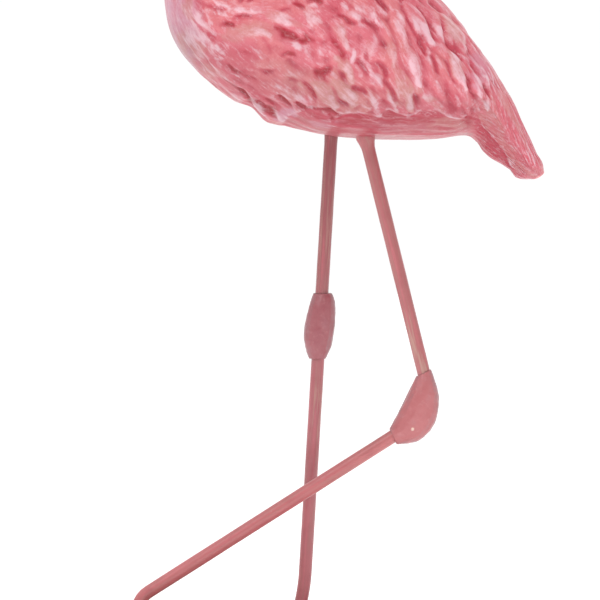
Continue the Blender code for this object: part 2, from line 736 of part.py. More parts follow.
def make_base(parts, material, bore, toe_reach):
    """Low oval plate with a rounded upper edge, and the socket of the standing rod."""
    rings = [(0.0, BASE_FOOT_CHAMFER), (BASE_FOOT_CHAMFER, 0.0)]
    for k in range(4):
        angle = math.pi / 2 * k / 3
        rise = BASE_HEIGHT - BASE_EDGE_RADIUS * (1 - math.sin(angle))
        rings.append((rise, BASE_EDGE_RADIUS * (1 - math.cos(angle))))
    bm = bmesh.new()
    loops = []
    for height, inset in rings:
        ring = []
        for k in range(BASE_SIDES):
            angle = 2 * math.pi * k / BASE_SIDES
            half_length = toe_reach + BASE_TOE_MARGIN - inset
            half_width = BASE_WIDTH / 2 - inset
            ring.append(bm.verts.new((half_length * math.cos(angle), half_width * math.sin(angle),
                                      height)))
        loops.append(ring)
    for low, high in zip(loops, loops[1:]):
        for k in range(BASE_SIDES):
            n = (k + 1) % BASE_SIDES
            bm.faces.new((low[k], low[n], high[n], high[k]))
    bm.faces.new(loops[0])
    bm.faces.new(loops[-1])
    bmesh.ops.recalc_face_normals(bm, faces=bm.faces)
    mesh = bpy.data.meshes.new("base")
    bm.to_mesh(mesh)
    bm.free()
    mesh.shade_smooth()
    mesh.set_sharp_from_angle(angle=math.radians(40))
    base = mesh_object("base", mesh, parts, material)
    add_boolean(base, bore, "DIFFERENCE")


def main():
    clear_scene()
    parts = new_collection("flamingo_statue")
    cutters = new_collection("cutters")
    skin = paint("pink_resin", SKIN_PINK, 0.45)
    rose = paint("rose_paint", LEG_ROSE, 0.40)
    knee_rose = paint("rose_resin", LEG_ROSE, 0.42)
    ground = paint("base_resin", BASE_ROSE, 0.60)
    bores = rods(parts, cutters, rose)
    make_body(parts, cutters, skin, bores)
    make_standing_knee(parts, knee_rose, bores["standing_leg"])
    make_raised_knee(parts, knee_rose, bores["raised_leg"])
    raised_ankle_x = raised_path()[-1][0]
    make_foot("standing_foot", standing_ankle_x(), STANDING_Y, parts, cutters, knee_rose,
              bores["standing_leg"])
    make_foot("raised_foot", raised_ankle_x, RAISED_Y, parts, cutters, knee_rose,
              bores["raised_leg"])
    toe_reach = abs(raised_ankle_x - TOE_LENGTH * MIDDLE_TOE)
    make_base(parts, ground, bores["standing_leg"], toe_reach)


main()
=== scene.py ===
"""Looks of the resin flamingo statue: the carved and painted casting, rods, knees, feet and base.

Every size is in metres unless its name says otherwise. The casting's tables are in units of a
190th of the body's length, measured from the point where the standing leg meets the belly, as
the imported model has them.
"""
import math
from types import SimpleNamespace

import bmesh
import bpy
import numpy as np
from mathutils import Matrix, Vector


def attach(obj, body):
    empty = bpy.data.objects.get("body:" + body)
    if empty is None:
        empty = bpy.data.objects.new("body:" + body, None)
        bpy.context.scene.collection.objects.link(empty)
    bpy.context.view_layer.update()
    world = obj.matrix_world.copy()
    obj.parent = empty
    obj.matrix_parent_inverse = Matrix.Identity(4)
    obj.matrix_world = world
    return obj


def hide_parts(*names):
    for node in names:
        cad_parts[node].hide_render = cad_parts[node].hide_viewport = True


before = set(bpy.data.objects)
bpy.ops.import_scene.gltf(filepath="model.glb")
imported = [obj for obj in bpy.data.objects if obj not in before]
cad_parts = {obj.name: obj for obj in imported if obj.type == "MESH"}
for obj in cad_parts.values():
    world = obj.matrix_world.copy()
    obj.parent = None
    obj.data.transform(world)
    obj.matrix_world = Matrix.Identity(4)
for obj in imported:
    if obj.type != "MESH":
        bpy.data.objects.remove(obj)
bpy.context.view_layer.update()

# Where the figure stands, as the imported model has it
UNIT = 0.001
HIP = (0.0406, 0.254)
BASE_TOP = 0.012
BODY_WIDTH = 0.092

# Mesh density of the casting: steps along it and the head's length in units, points around it
BODY_STEP = 0.98
NECK_STEP = 3.4
HEAD_STEP = 1.3
HEAD_LENGTH = 92
NECK_SIDES = 162
BODY_SIDES = 2 * NECK_SIDES

# Side-view sections: underside x and z, back x and z, half width as a share of the body's width
BODY_SECTIONS = [
    (101, -19.6, 106.9, -15.8, 0.045), (94.5, -19, 105.8, -11.5, 0.095),
    (90, -15.5, 102.8, -6.5, 0.13), (85.5, -12.5, 99.5, 0.5, 0.163), (80.5, -9.8, 95.8, 8.5, 0.2),
    (76, -6, 92, 16.8, 0.245), (72.5, -1.2, 87.5, 25, 0.295), (67.5, 1.8, 80.5, 36.8, 0.36),
    (56, 0.9, 71.2, 49.2, 0.413), (42, 0.4, 62.1, 61.7, 0.456), (26, 0.3, 49.5, 76.1, 0.484),
    (9, 0.5, 33.6, 91.6, 0.5), (-7, 3, 15.6, 102, 0.5), (-21, 6.5, -2, 106.8, 0.484),
    (-34, 11.2, -17, 107.2, 0.462), (-47.5, 19, -28, 105.6, 0.435),
    (-59.5, 27.5, -35.5, 104, 0.402), (-69, 36.8, -41, 104, 0.37),
    (-76.5, 46.5, -45.5, 105.5, 0.337), (-81.5, 57.5, -49, 108, 0.3),
    (-83.5, 70.5, -52.2, 111.5, 0.262), (-84.3, 84, -54.8, 116, 0.225),
    (-84.3, 97, -57, 121.5, 0.191), (-83.8, 110, -58.4, 128, 0.162),
    (-82.2, 123.4, -58.8, 134.6, 0.14), (-80.4, 136, -57.6, 141, 0.126),
    (-77.5, 148, -55.6, 148, 0.118), (-73, 160.2, -53, 154.8, 0.112),
]
# Rows up to here are the feathered body; the others are the neck
BODY_ROWS = 22
# Upper neck, head and bill: centre x and z, half depth, half width
HEAD_CENTRES = [
    (-58.5, 167, 10, 10), (-50.5, 184, 9.4, 9.4), (-43.5, 202.5, 8.9, 8.9), (-39, 222, 8.5, 8.5),
    (-38.5, 241, 8.3, 8.1), (-43, 258, 8.3, 8), (-52, 271.5, 9.2, 8.4), (-62.5, 280, 11.8, 9.6),
    (-73, 284, 14.8, 11.2), (-84, 283.6, 15.8, 11.8), (-94, 279.4, 14, 10.8),
    (-102, 273.6, 10.8, 8.6), (-108.5, 267, 9.4, 7), (-114.5, 259, 9.8, 6.4),
    (-119, 249.8, 10, 6), (-121.3, 240.5, 8.6, 5.4), (-120.3, 232, 6, 4.4),
    (-117.3, 225.6, 3.5, 3), (-113.8, 221.2, 1.5, 1.6),
]
# How much narrower the tail is below, and how much flatter the belly is than an ellipse
TAIL_UNDERCUT = 0.30
BELLY_FLATNESS = 0.23
# Lower edge of the plumage on the side: x, z
PLUMAGE_EDGE = [
    (-90, -50), (-30, 0), (-21.1, 11.5), (-15.6, 13.5), (-11.1, 15), (-5.1, 13), (-0.6, 8),
    (5.9, 12), (13.4, 13.2), (18.6, 11.2), (21.9, 11.2), (29.1, 13.2), (32.4, 11.2), (37.6, 9.4),
    (43.4, 12.5), (51.4, 14.5), (57.4, 11.2), (63.1, 10.5), (69.7, 12.5), (72.9, 11.2),
    (75.4, 7.3), (80.8, 0.7), (86.7, -7), (89.9, -13), (91.4, -18), (110, -40),
]

# Eyes: place x, z and distance from the middle in units, and radius
EYE_PLACE = (-91.0, 284.5)
EYE_SIDE = 10.6
EYE_RADIUS = 0.0026
# How far from its tip the bill and its black end begin, in units
BILL_START = 61.0
BILL_TIP = 31.0

# Which way the feathers lie on the side: x, z, and the slope below level, in degrees
FLOW = [
    (-82, 60, 89), (-75, 40, 62), (-57, 27, 46), (-40, 15, 44), (-25, 11, 42), (-57, 65, 10),
    (-42, 61, 4), (-47, 36, 24), (-40, 30, 16), (-47, 20, 50), (-32, 17, 54), (-21, 50, 18),
    (-15, 66, 24), (-15, 25, 48), (-5, 50, 50), (7, 57, 42), (5, 40, 55), (7, 25, 42),
    (20, 20, 48), (27, 62, 64), (37, 50, 61), (50, 55, 58), (55, 35, 66), (35, 25, 70),
    (70, 20, 62), (65, 45, 58), (77, 40, 55), (85, 15, 58), (95, -5, 56), (72, 5, 46), (35, 5, 3),
    (5, 5, 6), (-12, 5, 14), (68, 3, 8), (0, 100, 6), (35, 88, 38), (-30, 95, 8), (-62, 88, 78),
    (-82, 100, 90), (15, 80, 40), (-40, 80, 30), (55, 68, 50),
]

# Carved gouges on the side: three points x, z on the stroke, half width, depth in mm
GOUGES = [
    (-62.6, 66.5, -57.1, 65.5, -52.1, 64.5, 2, 0.9),
    (-59.1, 65.5, -56.1, 65.5, -53.6, 65.2, 0.8, 0.6),
    (-48.6, 60, -44.1, 60.8, -38.6, 60.5, 1.2, 1.4),
    (-53.6, 58, -51.6, 57.1, -48.6, 56.2, 1.5, 1.8),
    (-46.6, 67.5, -45.1, 68.8, -43.1, 70, 1, 1.3), (-42.1, 67, -40.1, 68.2, -38.1, 69.5, 1, 1.3),
    (-51.6, 37.5, -47.6, 34.2, -42.6, 33.5, 0.95, 1.6),
    (-42.6, 33.5, -39.6, 33, -37.1, 33.5, 0.7, 1), (-47.1, 43, -41.6, 42, -34.6, 39.5, 1.5, 0.8),
    (-43.6, 31.8, -40.6, 30.5, -37.1, 29, 0.95, 1.5),
    (-34.6, 32.2, -31.6, 33.2, -27.6, 33.8, 0.95, 1.3),
    (-25.6, 52, -21.6, 50.2, -17.6, 50, 2.75, 2.8),
    (-29.6, 55, -26.6, 54.2, -23.6, 52.5, 1.1, 1.6),
    (-18.6, 49.2, -15.1, 48.2, -11.1, 47.2, 1.25, 1.5),
    (-24.6, 40.8, -21.1, 42, -17.1, 41.2, 1.5, 1.9),
    (-20.1, 67, -16.6, 66.2, -13.6, 63.8, 1.15, 2),
    (-12.6, 66.5, -9.1, 67.8, -4.6, 66.8, 1.25, 1.9),
    (-25.1, 63.5, -22.8, 64.5, -20.6, 64.6, 1, 1), (-1.6, 59, 2.9, 60.5, 7.4, 60, 1.15, 1.6),
    (6.9, 60.2, 9.4, 57.8, 12.9, 56, 1.35, 2.5), (13.4, 57.5, 18.9, 57.2, 25.4, 53.5, 1.05, 1.7),
    (-14.6, 53, -11.1, 49, -6.6, 47.5, 1.05, 1.7),
    (-6.6, 47.5, -4.6, 47.4, -2.1, 48.5, 0.85, 1.3), (-1.6, 49.5, 2.4, 47.2, 6.9, 40.5, 1.1, 2),
    (3.8, 41.2, 5.2, 40, 6.7, 38.2, 1, 1.6), (-9.1, 34, -5.1, 33.5, -0.6, 34.5, 2.5, 3),
    (-8.6, 31.5, -5.6, 30.5, -0.6, 29.5, 1.5, 1.3),
    (-59.1, 26.8, -53.6, 23, -47.1, 19, 0.65, 0.9),
    (-56.1, 28, -51.6, 24.5, -46.6, 21.5, 0.65, 0.8),
    (-50.6, 25.8, -48.3, 24.5, -45.6, 22.8, 0.8, 1.2),
    (-45.6, 24.5, -42.8, 22.2, -40.3, 18.8, 1.15, 2.1),
    (-41.1, 27, -34.6, 22.5, -26.6, 11.5, 2.6, 0.6),
    (-31.6, 18, -29.1, 14.5, -26.1, 11, 1.1, 1.4),
    (-26.6, 21.8, -22.6, 18.5, -18.8, 15.8, 1.2, 1.7),
    (-18.1, 18, -15.1, 16.2, -11.6, 14.2, 1.5, 1.9), (-11.6, 15.8, -6.6, 14.5, 0.4, 13.5, 1, 1.8),
    (-4.6, 14, 1.4, 12.5, 6.4, 12.5, 1.5, 2.3), (-3.6, 13, -1.1, 10.5, -0.1, 7.5, 1.5, 2),
    (0.9, 12, 0.4, 10, -0.1, 8, 2, 2), (21.4, 72, 23.9, 67.5, 28.4, 63, 1.5, 2.5),
    (32.9, 72, 35.4, 65, 38.4, 58, 1, 1.1), (35.9, 60, 40.9, 53.5, 44.4, 47, 1.1, 1.8),
    (42.9, 48.5, 45.4, 45, 46.9, 41, 1.5, 2.5), (48.4, 42.5, 50.9, 38, 52.7, 33, 1, 2),
    (48.4, 56.5, 49.9, 53, 51.9, 48, 0.9, 1.5), (48.9, 68.5, 51.4, 66.5, 54.9, 63.5, 1.2, 2.1),
    (53.9, 63, 54.9, 58, 55.9, 52, 0.9, 1.2), (56.4, 48, 60.4, 44.5, 65.2, 38.5, 1.15, 2.1),
    (11.9, 39, 15.4, 36.5, 18.2, 31.2, 1.45, 2.4),
    (21.9, 37.8, 25.4, 35.5, 26.7, 29.5, 1.25, 2.4), (10.4, 26.5, 13.9, 25, 17.7, 22.8, 1.25, 2),
    (24.4, 29, 28.9, 25.2, 31.2, 18.5, 1.45, 2.5), (74.9, 27.8, 77.2, 24.8, 79.2, 21, 1, 2.8),
    (79.9, 29.8, 81.4, 27.5, 82.9, 24.5, 0.8, 1.9), (36.4, 9.5, 43.4, 12.2, 56.9, 11, 1.5, 1.2),
    (61.9, 39, 65.4, 33, 68.4, 25, 0.8, 1.1), (65.9, 43.5, 68.4, 40, 71.4, 33, 0.75, 1),
    (58.9, 25, 59.4, 20, 61.9, 14, 3, 0.8), (63.9, 17.5, 65.4, 14.5, 66.4, 11.5, 1.25, 1.4),
    (30.4, 38, 33.9, 32, 38.4, 25, 0.8, 0.9), (-15.6, 28, -10.6, 24, -8.6, 18, 1.5, 0.9),
    (-34.6, 50, -31.6, 46, -30.6, 42, 1, 0.6), (4.4, 68, 2.4, 65, -0.6, 63, 1, 0.9),
    (55.4, 28, 57.4, 24, 57.9, 19, 1, 1.2), (68.4, 24, 69.9, 20, 70.4, 15, 1, 1.1),
    (40.4, 22, 41.4, 18, 41.4, 14, 1.2, 0.8),
]

# Raised locks on the side: three points x, z, half width, height in mm, how much pale paint
# they take, and how tan that paint is
LOCKS = [
    (-63.1, 67.2, -54.6, 67.2, -50.1, 63.5, 0.8, 0.8, 0.9, 0),
    (-50.1, 63.5, -42.6, 63, -34.1, 63, 0.75, 0.8, 0.9, 0),
    (7.4, 67.5, 11.9, 65, 17.4, 61, 1, 1.3, 0.8, 0),
    (12.9, 69, 17.4, 65, 20.4, 60, 1, 1.1, 0.6, 0),
    (18.4, 68.5, 21.9, 61.5, 27.9, 50, 1.3, 1.9, 0.85, 0),
    (35.9, 66.5, 42.9, 59, 48.9, 48, 3.75, 1.9, 0.95, 0),
    (45.9, 59, 47.9, 53.5, 49.7, 48, 0.9, 1.5, 0.9, 0),
    (49.9, 61, 52.9, 55.5, 54.9, 48.5, 1.35, 1.9, 0.9, 0),
    (54.9, 61, 60.4, 53, 65.9, 43.5, 3.5, 1.9, 0.4, 0.7),
    (57.4, 43, 61.9, 35, 65.9, 25, 3.25, 2, 0.65, 0.6),
    (34.4, 47, 39.4, 39, 42.4, 27.5, 4, 2.1, 0.85, 0.2),
    (26.4, 49, 29.4, 44, 30.9, 37, 2.5, 1.8, 0.6, 0.6),
    (10.4, 47, 11.4, 44, 10.4, 39, 2.1, 1.5, 0.7, 0),
    (13.4, 48, 14.9, 45, 14.9, 40, 1.8, 1.5, 0.7, 0),
    (17.4, 49, 18.9, 45, 18.9, 39, 2.1, 1.7, 0.75, 0.2),
    (19.9, 53, 21.4, 50, 21.9, 45, 1.5, 1.5, 0.8, 0),
    (20.4, 32, 22.4, 30, 23.4, 26, 1.7, 1.6, 0.8, 0),
    (17.4, 25, 20.4, 20, 22.4, 13.5, 3, 1.7, 0.35, 0),
    (49.4, 30, 52.4, 27, 54.4, 21.5, 1.3, 1.2, 0.7, 0),
    (43.9, 26, 45.4, 23, 46.4, 19.5, 0.75, 0.8, 0.8, 0),
    (46.9, 26, 47.9, 23, 48.9, 19.5, 0.7, 0.8, 0.8, 0),
    (73.9, 37.5, 75.9, 32.5, 77.9, 27, 1.15, 1.5, 0.95, 0),
    (75.9, 23, 76.9, 19, 77.4, 15, 0.95, 1.1, 0.8, 0),
    (-43.6, 23.5, -37.1, 18.5, -30.1, 9.5, 1.35, 1.9, 0.75, 0),
    (-29.6, 16.5, -26.1, 12, -21.1, 9, 0.95, 1.4, 0.85, 0),
    (-25.1, 21.5, -21.1, 18, -16.8, 15, 0.8, 1.2, 0.8, 0),
    (-54.6, 27, -49.6, 23.5, -45.1, 20, 0.85, 0.9, 0.5, 0),
    (-36.6, 29, -34.6, 28, -32.1, 27.5, 0.85, 0.8, 0.9, 0),
    (-31.6, 27.5, -26.6, 26, -20.6, 24.5, 0.8, 0.9, 0.7, 0),
    (-10.1, 46.5, -11.1, 43, -10.1, 39.5, 1.5, 1.6, 0.8, 0),
    (-6.1, 45.5, -5.8, 42.5, -5.6, 39.5, 1.3, 1.7, 0.95, 0),
    (-2.6, 45, -1.1, 42, 1.4, 39, 1.25, 1.5, 0.8, 0),
    (-3.1, 31, -2.3, 30.9, -1.6, 31, 1.4, 2.4, 0.9, 0),
    (-52.1, 48.5, -51.3, 46.5, -51.3, 43.5, 0.75, 0.7, 0.95, 0),
    (-44.1, 52.5, -44.3, 50.5, -45.1, 48.5, 0.7, 0.7, 0.95, 0),
    (-24.1, 60, -22.8, 58.5, -22.1, 56.5, 1.5, 1.1, 0.8, 0),
    (-4.6, 57, -3.3, 55, -3.1, 52, 1.25, 1.3, 0.8, 0),
    (4.9, 55, 5.9, 53, 6.2, 51, 1, 1.1, 0.9, 0), (1.4, 39, 5.9, 37, 9.9, 31.5, 4, 1.7, 0.1, 0.9),
    (0.9, 28, 6.9, 24, 10.4, 17, 5, 1.3, 0.1, 0.8),
    (-12.6, 64, -8.1, 58, -4.6, 51, 4, 1.6, 0.45, 0.4),
    (-0.1, 58, 4.4, 53, 7.9, 45, 2.75, 1.4, 0.3, 0.6),
    (30.4, 36, 35.4, 28, 38.9, 16, 4, 1.5, 0.1, 0.9),
    (45.9, 21, 49.9, 18, 54.4, 14, 2.5, 1.1, 0.2, 0.8),
    (-34.6, 63, -27.6, 60, -15.6, 56, 3, 0.9, 0.1, 0.5),
    (-50.6, 55, -40.6, 53.5, -30.6, 51, 3, 0.8, 0.15, 0.5),
    (-29.6, 39, -22.6, 35, -12.6, 30, 3.5, 1.1, 0.15, 0.3),
    (-40.6, 39, -34.6, 37, -25.6, 37, 2, 0.9, 0.3, 0.2),
    (-15.6, 27, -4.6, 24, 1.4, 16, 4.5, 1.2, 0.1, 0.9),
    (66.4, 24, 68.4, 20, 73.4, 15, 2.5, 1.3, 0.2, 0.2),
    (28.4, 67, 32.4, 58, 36.4, 48, 3, 1.5, 0.3, 0),
    (6.9, 35, 9.4, 31, 10.4, 28, 2.5, 1.3, 0.15, 0.8),
    (-21.1, 23.5, -15.6, 20, -11.6, 17, 2.5, 1.2, 0.3, 0),
    (27.4, 24, 29.4, 20, 32.4, 14, 2.5, 1.2, 0.3, 0.5),
    (58.9, 69, 64.4, 61, 68.4, 53, 2.5, 1.3, 0.4, 0.2),
    (-59.6, 20, -52.6, 18.5, -43.6, 14, 1.5, 0.9, 0.5, 0),
]

# Locks up to this half width are thin ridges, evenly painted
THIN_LOCK = 1.2
# Gouges below this half width are cut as dark lines
THIN_GOUGE = 1.6
# How far noise bends the strokes, in units, and how many times as far the patches
WANDER = 0.42
PATCH_WANDER = 1.6
# Points on a stroke's curve
STROKE_POINTS = 33
# How many grid points are tried as places for tufts, and the height above which none go, in units
TUFT_TRIES = 16000
TUFT_TOP = 128

# Slopes below level of the fine lines in the paint, in degrees
LAY_SLOPES = (6, 42, 62)

# Patches of colour on the side: x, z, half width, half height, strength, and which tone of
# PATCH_TONES
PATCHES = [
    (-64.5, 59.5, 6.5, 4.5, 0.75, 0), (-66, 52, 9, 7, 0.6, 0), (-60, 43, 8, 5, 0.45, 0),
    (-71, 66, 2.4, 8, 0.6, 2), (-66, 67, 3, 4, 0.45, 3), (-72.5, 48.5, 3.5, 6, 0.65, 2),
    (-60.5, 51, 3.5, 4, 0.5, 3), (-66, 44, 7, 5, 0.45, 2), (-57, 43, 4, 4, 0.35, 3),
    (-56, 65.8, 5.5, 2.6, 0.55, 3), (-50.5, 57, 6, 3, 0.45, 3), (-44, 60, 7, 2.4, 0.5, 3),
    (-38, 64, 16, 2, 0.3, 0), (-35, 55, 10, 4, 0.4, 2), (-47, 52, 6, 4, 0.45, 2),
    # The coral patch at x -47, z 40 darkens the lower breast: painted shade.
    (-47, 40, 11, 7, 0.42, 3), (-30, 38, 8, 5, 0.35, 4), (-22, 12.5, 7, 2.6, 0.7, 1),
    (-24, 59, 5, 4.5, 0.45, 0), (-8, 57, 6, 6, 0.35, 0), (-36, 22, 5, 8, 0.4, 3),
    (-14, 27, 10, 8, 0.45, 2), (6, 26, 9, 9, 0.4, 2), (2, 66, 7, 4, 0.5, 3),
    (22, 66, 6, 8, 0.4, 3), (32, 37, 4, 8, 0.3, 3), (37.5, 22, 7, 8, 0.55, 2),
    (60, 19, 4, 6, 0.7, 3), (47, 46, 4, 10, 0.4, 3), (74, 36, 6, 10, 0.45, 1),
    (80, 14, 6, 12, 0.3, 4), (60, 55, 5, 8, 0.35, 2), (30, 5.5, 22, 2.5, 0.1, 1),
    (58, 8, 9, 3, 0.45, 2), (-4, 7.5, 8, 3, 0.35, 1), (76, 8, 4, 6, 0.5, 2),
    (100, -6, 5, 8, 0.25, 3),
]

# Painted colours, as they look on the statue
BASE_PINK = (0.855, 0.44, 0.49)
WARM_PINK = (0.87, 0.50, 0.51)
# The coral and dark wine below also serve as painted shade in the hollows, gouges and under the
# body.
DEEP_CORAL = (0.795, 0.275, 0.35)
DARK_WINE = (0.61, 0.03, 0.07)
PALE_PINK = (0.93, 0.76, 0.80)
LAVENDER = (0.84, 0.63, 0.71)
DUSTY_TAN = (0.82, 0.57, 0.55)
BELLY_PINK = (0.735, 0.27, 0.32)
PATCH_TONES = (PALE_PINK, LAVENDER, DUSTY_TAN, DEEP_CORAL, WARM_PINK)
BILL_CREAM = (0.90, 0.74, 0.68)
BILL_BLACK = (0.05, 0.045, 0.05)
IRIS_YELLOW = (0.93, 0.72, 0.22)
IRIS_GOLD = (0.95, 0.80, 0.35)
EYE_RIM = (0.55, 0.16, 0.20)
# Main tone, shade and light of the bent knee's and feet's paint, and of the standing knee's, a
# darker copy that is painted shade
KNEE_ROSE = ((0.77, 0.455, 0.465), (0.73, 0.40, 0.41), (0.74, 0.50, 0.52))
SHADED_KNEE_ROSE = ((0.665, 0.385, 0.41), (0.62, 0.31, 0.35), (0.67, 0.44, 0.48))
# Painted sheen, edges turned from the front greyed by painted shade and wear, and chips on the
# knees
KNEE_SHEEN = (0.88, 0.68, 0.68)
WORN_SHADE_MAUVE = (0.60, 0.44, 0.46)
CHIP_CREAM = (0.93, 0.80, 0.74)
# Ground of the base
BASE_SAND = (0.66, 0.56, 0.52)
SAND_SHADE = (0.54, 0.42, 0.39)
SAND_ROSE = (0.72, 0.53, 0.50)
# Tones on the rods: worn grey-brown, bright streaks, patches, flecks and the undercoat
ROD_WORN = (0.68, 0.50, 0.47)
ROD_STREAK = (0.86, 0.46, 0.50)
ROD_PATCH = (0.66, 0.34, 0.36)
ROD_FLECK = (0.88, 0.72, 0.70)
WORN_TAN = (0.77, 0.60, 0.55)
# Tone of the rods by height: they are darker up under the body, painted shade of the body
STANDING_SHADED_TINTS = [
    (0.03, (0.775, 0.435, 0.46)), (0.09, (0.70, 0.41, 0.435)), (0.14, (0.705, 0.415, 0.435)),
    (0.17, (0.66, 0.395, 0.41)), (0.21, (0.62, 0.35, 0.365)), (0.26, (0.60, 0.33, 0.35)),
]
RAISED_SHADED_TINTS = [
    (0.02, (0.825, 0.475, 0.485)), (0.06, (0.78, 0.445, 0.455)), (0.10, (0.775, 0.445, 0.45)),
    (0.13, (0.735, 0.445, 0.45)), (0.20, (0.715, 0.41, 0.42)), (0.26, (0.70, 0.395, 0.405)),
]
# How far the paint of each rod is worn to a tan undercoat, by height
STANDING_WEAR = [(0.095, 0), (0.108, 0.55), (0.126, 0.55), (0.132, 0), (0.19, 0), (0.20, 0.35),
                 (0.23, 0)]
RAISED_WEAR = [(0.128, 0), (0.140, 0.75), (0.160, 0.7), (0.172, 0)]
# Pale chips in the paint of the bent knee: x, z and radius
KNEE_CHIPS = [(0.0812, 0.1097, 0.0008)]

# What the smooth neck takes of each field of the plumage's paint
NECK_FIELDS = {"brush": 0.0, "wash_and_shade": 0.0, "deep": 0.0, "tone": 1.0, "lined": 0.25}

# Rounded ends of the casting: how wide each ring is, and how far out it stands
END_STEPS = ((0.85, 0.45), (0.55, 0.85), (0.25, 1.0))
# Rings over which the relief fades out at the neck and at the tail's tip
NECK_FADE_RINGS = 12
TIP_FADE_RINGS = 8
# Length of neck over which the plumage's paint gives way to the neck's, in units
NECK_BLEND = 40

SEED = 11
TINY = 1e-9


def to_linear(colour):
    value = np.asarray(colour, float)
    return np.where(value <= 0.04045, value / 12.92, ((value + 0.055) / 1.055) ** 2.4)


def smoothstep(value):
    value = np.clip(value, 0, 1)
    return value * value * (3 - 2 * value)


def ramp(value, start, width):
    """Smooth step from 0 at the start to 1 a width further on, or further back if negative."""
    return smoothstep((value - start) / width)


def bell(value, middle, width):
    return np.exp(-(((value - middle) / width) ** 2))


def dome(reach, power):
    """1 at the middle and 0 from a reach of 1 on."""
    return np.clip(1 - reach**2, 0, 1) ** power


def unit(vectors):
    return vectors / (np.linalg.norm(vectors, axis=-1, keepdims=True) + TINY)


def run_length(points):
    """How far along a line each of its points lies."""
    return np.concatenate([[0], np.cumsum(np.linalg.norm(np.diff(points, axis=0), axis=1))])


def look_up(at, keys, rows):
    """The rows' columns, read between the keys."""
    return np.stack([np.interp(at, keys, column) for column in np.transpose(rows)], axis=-1)


def blend(colour, other, amount):
    return colour + (to_linear(other) - colour) * np.clip(amount, 0, 1)[..., None]


# Surface of the casting

def catmull(rows, steps):
    """Points on a Catmull-Rom curve through the rows, at fractional row numbers."""
    rows = np.asarray(rows, float)
    padded = np.vstack([2 * rows[0] - rows[1], rows, 2 * rows[-1] - rows[-2]])
    steps = np.clip(steps, 0, len(rows) - 1 - TINY)
    index = steps.astype(int)
    t = (steps - index)[:, None]
    a, b, c, d = (padded[index + k] for k in range(4))
    return 0.5 * (2 * b + (c - a) * t + (2 * a - 5 * b + 4 * c - d) * t**2
                  + (3 * b - a - 3 * c + d) * t**3)


def all_sections():
    """Every section from the tail's tip to the bill's, with half widths in units."""
    body = np.array(BODY_SECTIONS)
    body[:, 4] *= BODY_WIDTH / UNIT
    centres = np.array(HEAD_CENTRES)
    along = unit(np.gradient(centres[:, :2], axis=0))
    to_back = np.stack([along[:, 1], -along[:, 0]], axis=1) * centres[:, 2:3]
    head = np.hstack([centres[:, :2] - to_back, centres[:, :2] + to_back, centres[:, 3:4]])
    return np.vstack([body, head])


def dense_sections():
    """Sections of body and neck at the mesh's own spacing, and where the neck's rings lie."""
    rows = all_sections()
    fine = np.linspace(0, len(rows) - 1, 60 * len(rows))
    points = catmull(rows, fine)
    travelled = run_length((points[:, 0:2] + points[:, 2:4]) / 2)
    body = np.arange(0, np.interp(BODY_ROWS, fine, travelled), BODY_STEP)
    neck, step = [body[-1]], BODY_STEP
    while neck[-1] + step < travelled[-1]:
        neck.append(neck[-1] + step)
        near_head = neck[-1] > travelled[-1] - HEAD_LENGTH
        step = max(step * 0.9, HEAD_STEP) if near_head else min(step * 1.1, NECK_STEP)
    neck = np.array(neck[1:])
    body, head = (catmull(rows, np.interp(wanted, travelled, fine)) for wanted in (body, neck))
    return body, head, neck


def ring_points(sections, sides):
    """One closed ring of points for each section, in units, starting at the back."""
    under, back = sections[:, None, 0:2], sections[:, None, 2:4]
    angle = 2 * math.pi * np.arange(sides) / sides
    up, out = np.cos(angle)[None, :], np.sin(angle)[None, :]
    x = sections[:, 0:1]
    flat = BELLY_FLATNESS * ramp(x, -24, 16) * ramp(x, 72, -10)
    power = np.where(up < 0, 1 - flat, 1.0)
    lower = smoothstep(-np.cos(angle) * 1.6 + 0.2)[None, :]
    up, out = (np.sign(part) * np.abs(part) ** power for part in (up, out))
    side_view = (under + back) / 2 + (back - under) / 2 * up[:, :, None]
    across = sections[:, 4:5] * out * (1 - TAIL_UNDERCUT * ramp(x, 58, 14) * lower)
    return np.stack([side_view[:, :, 0], across, side_view[:, :, 1]], axis=2)


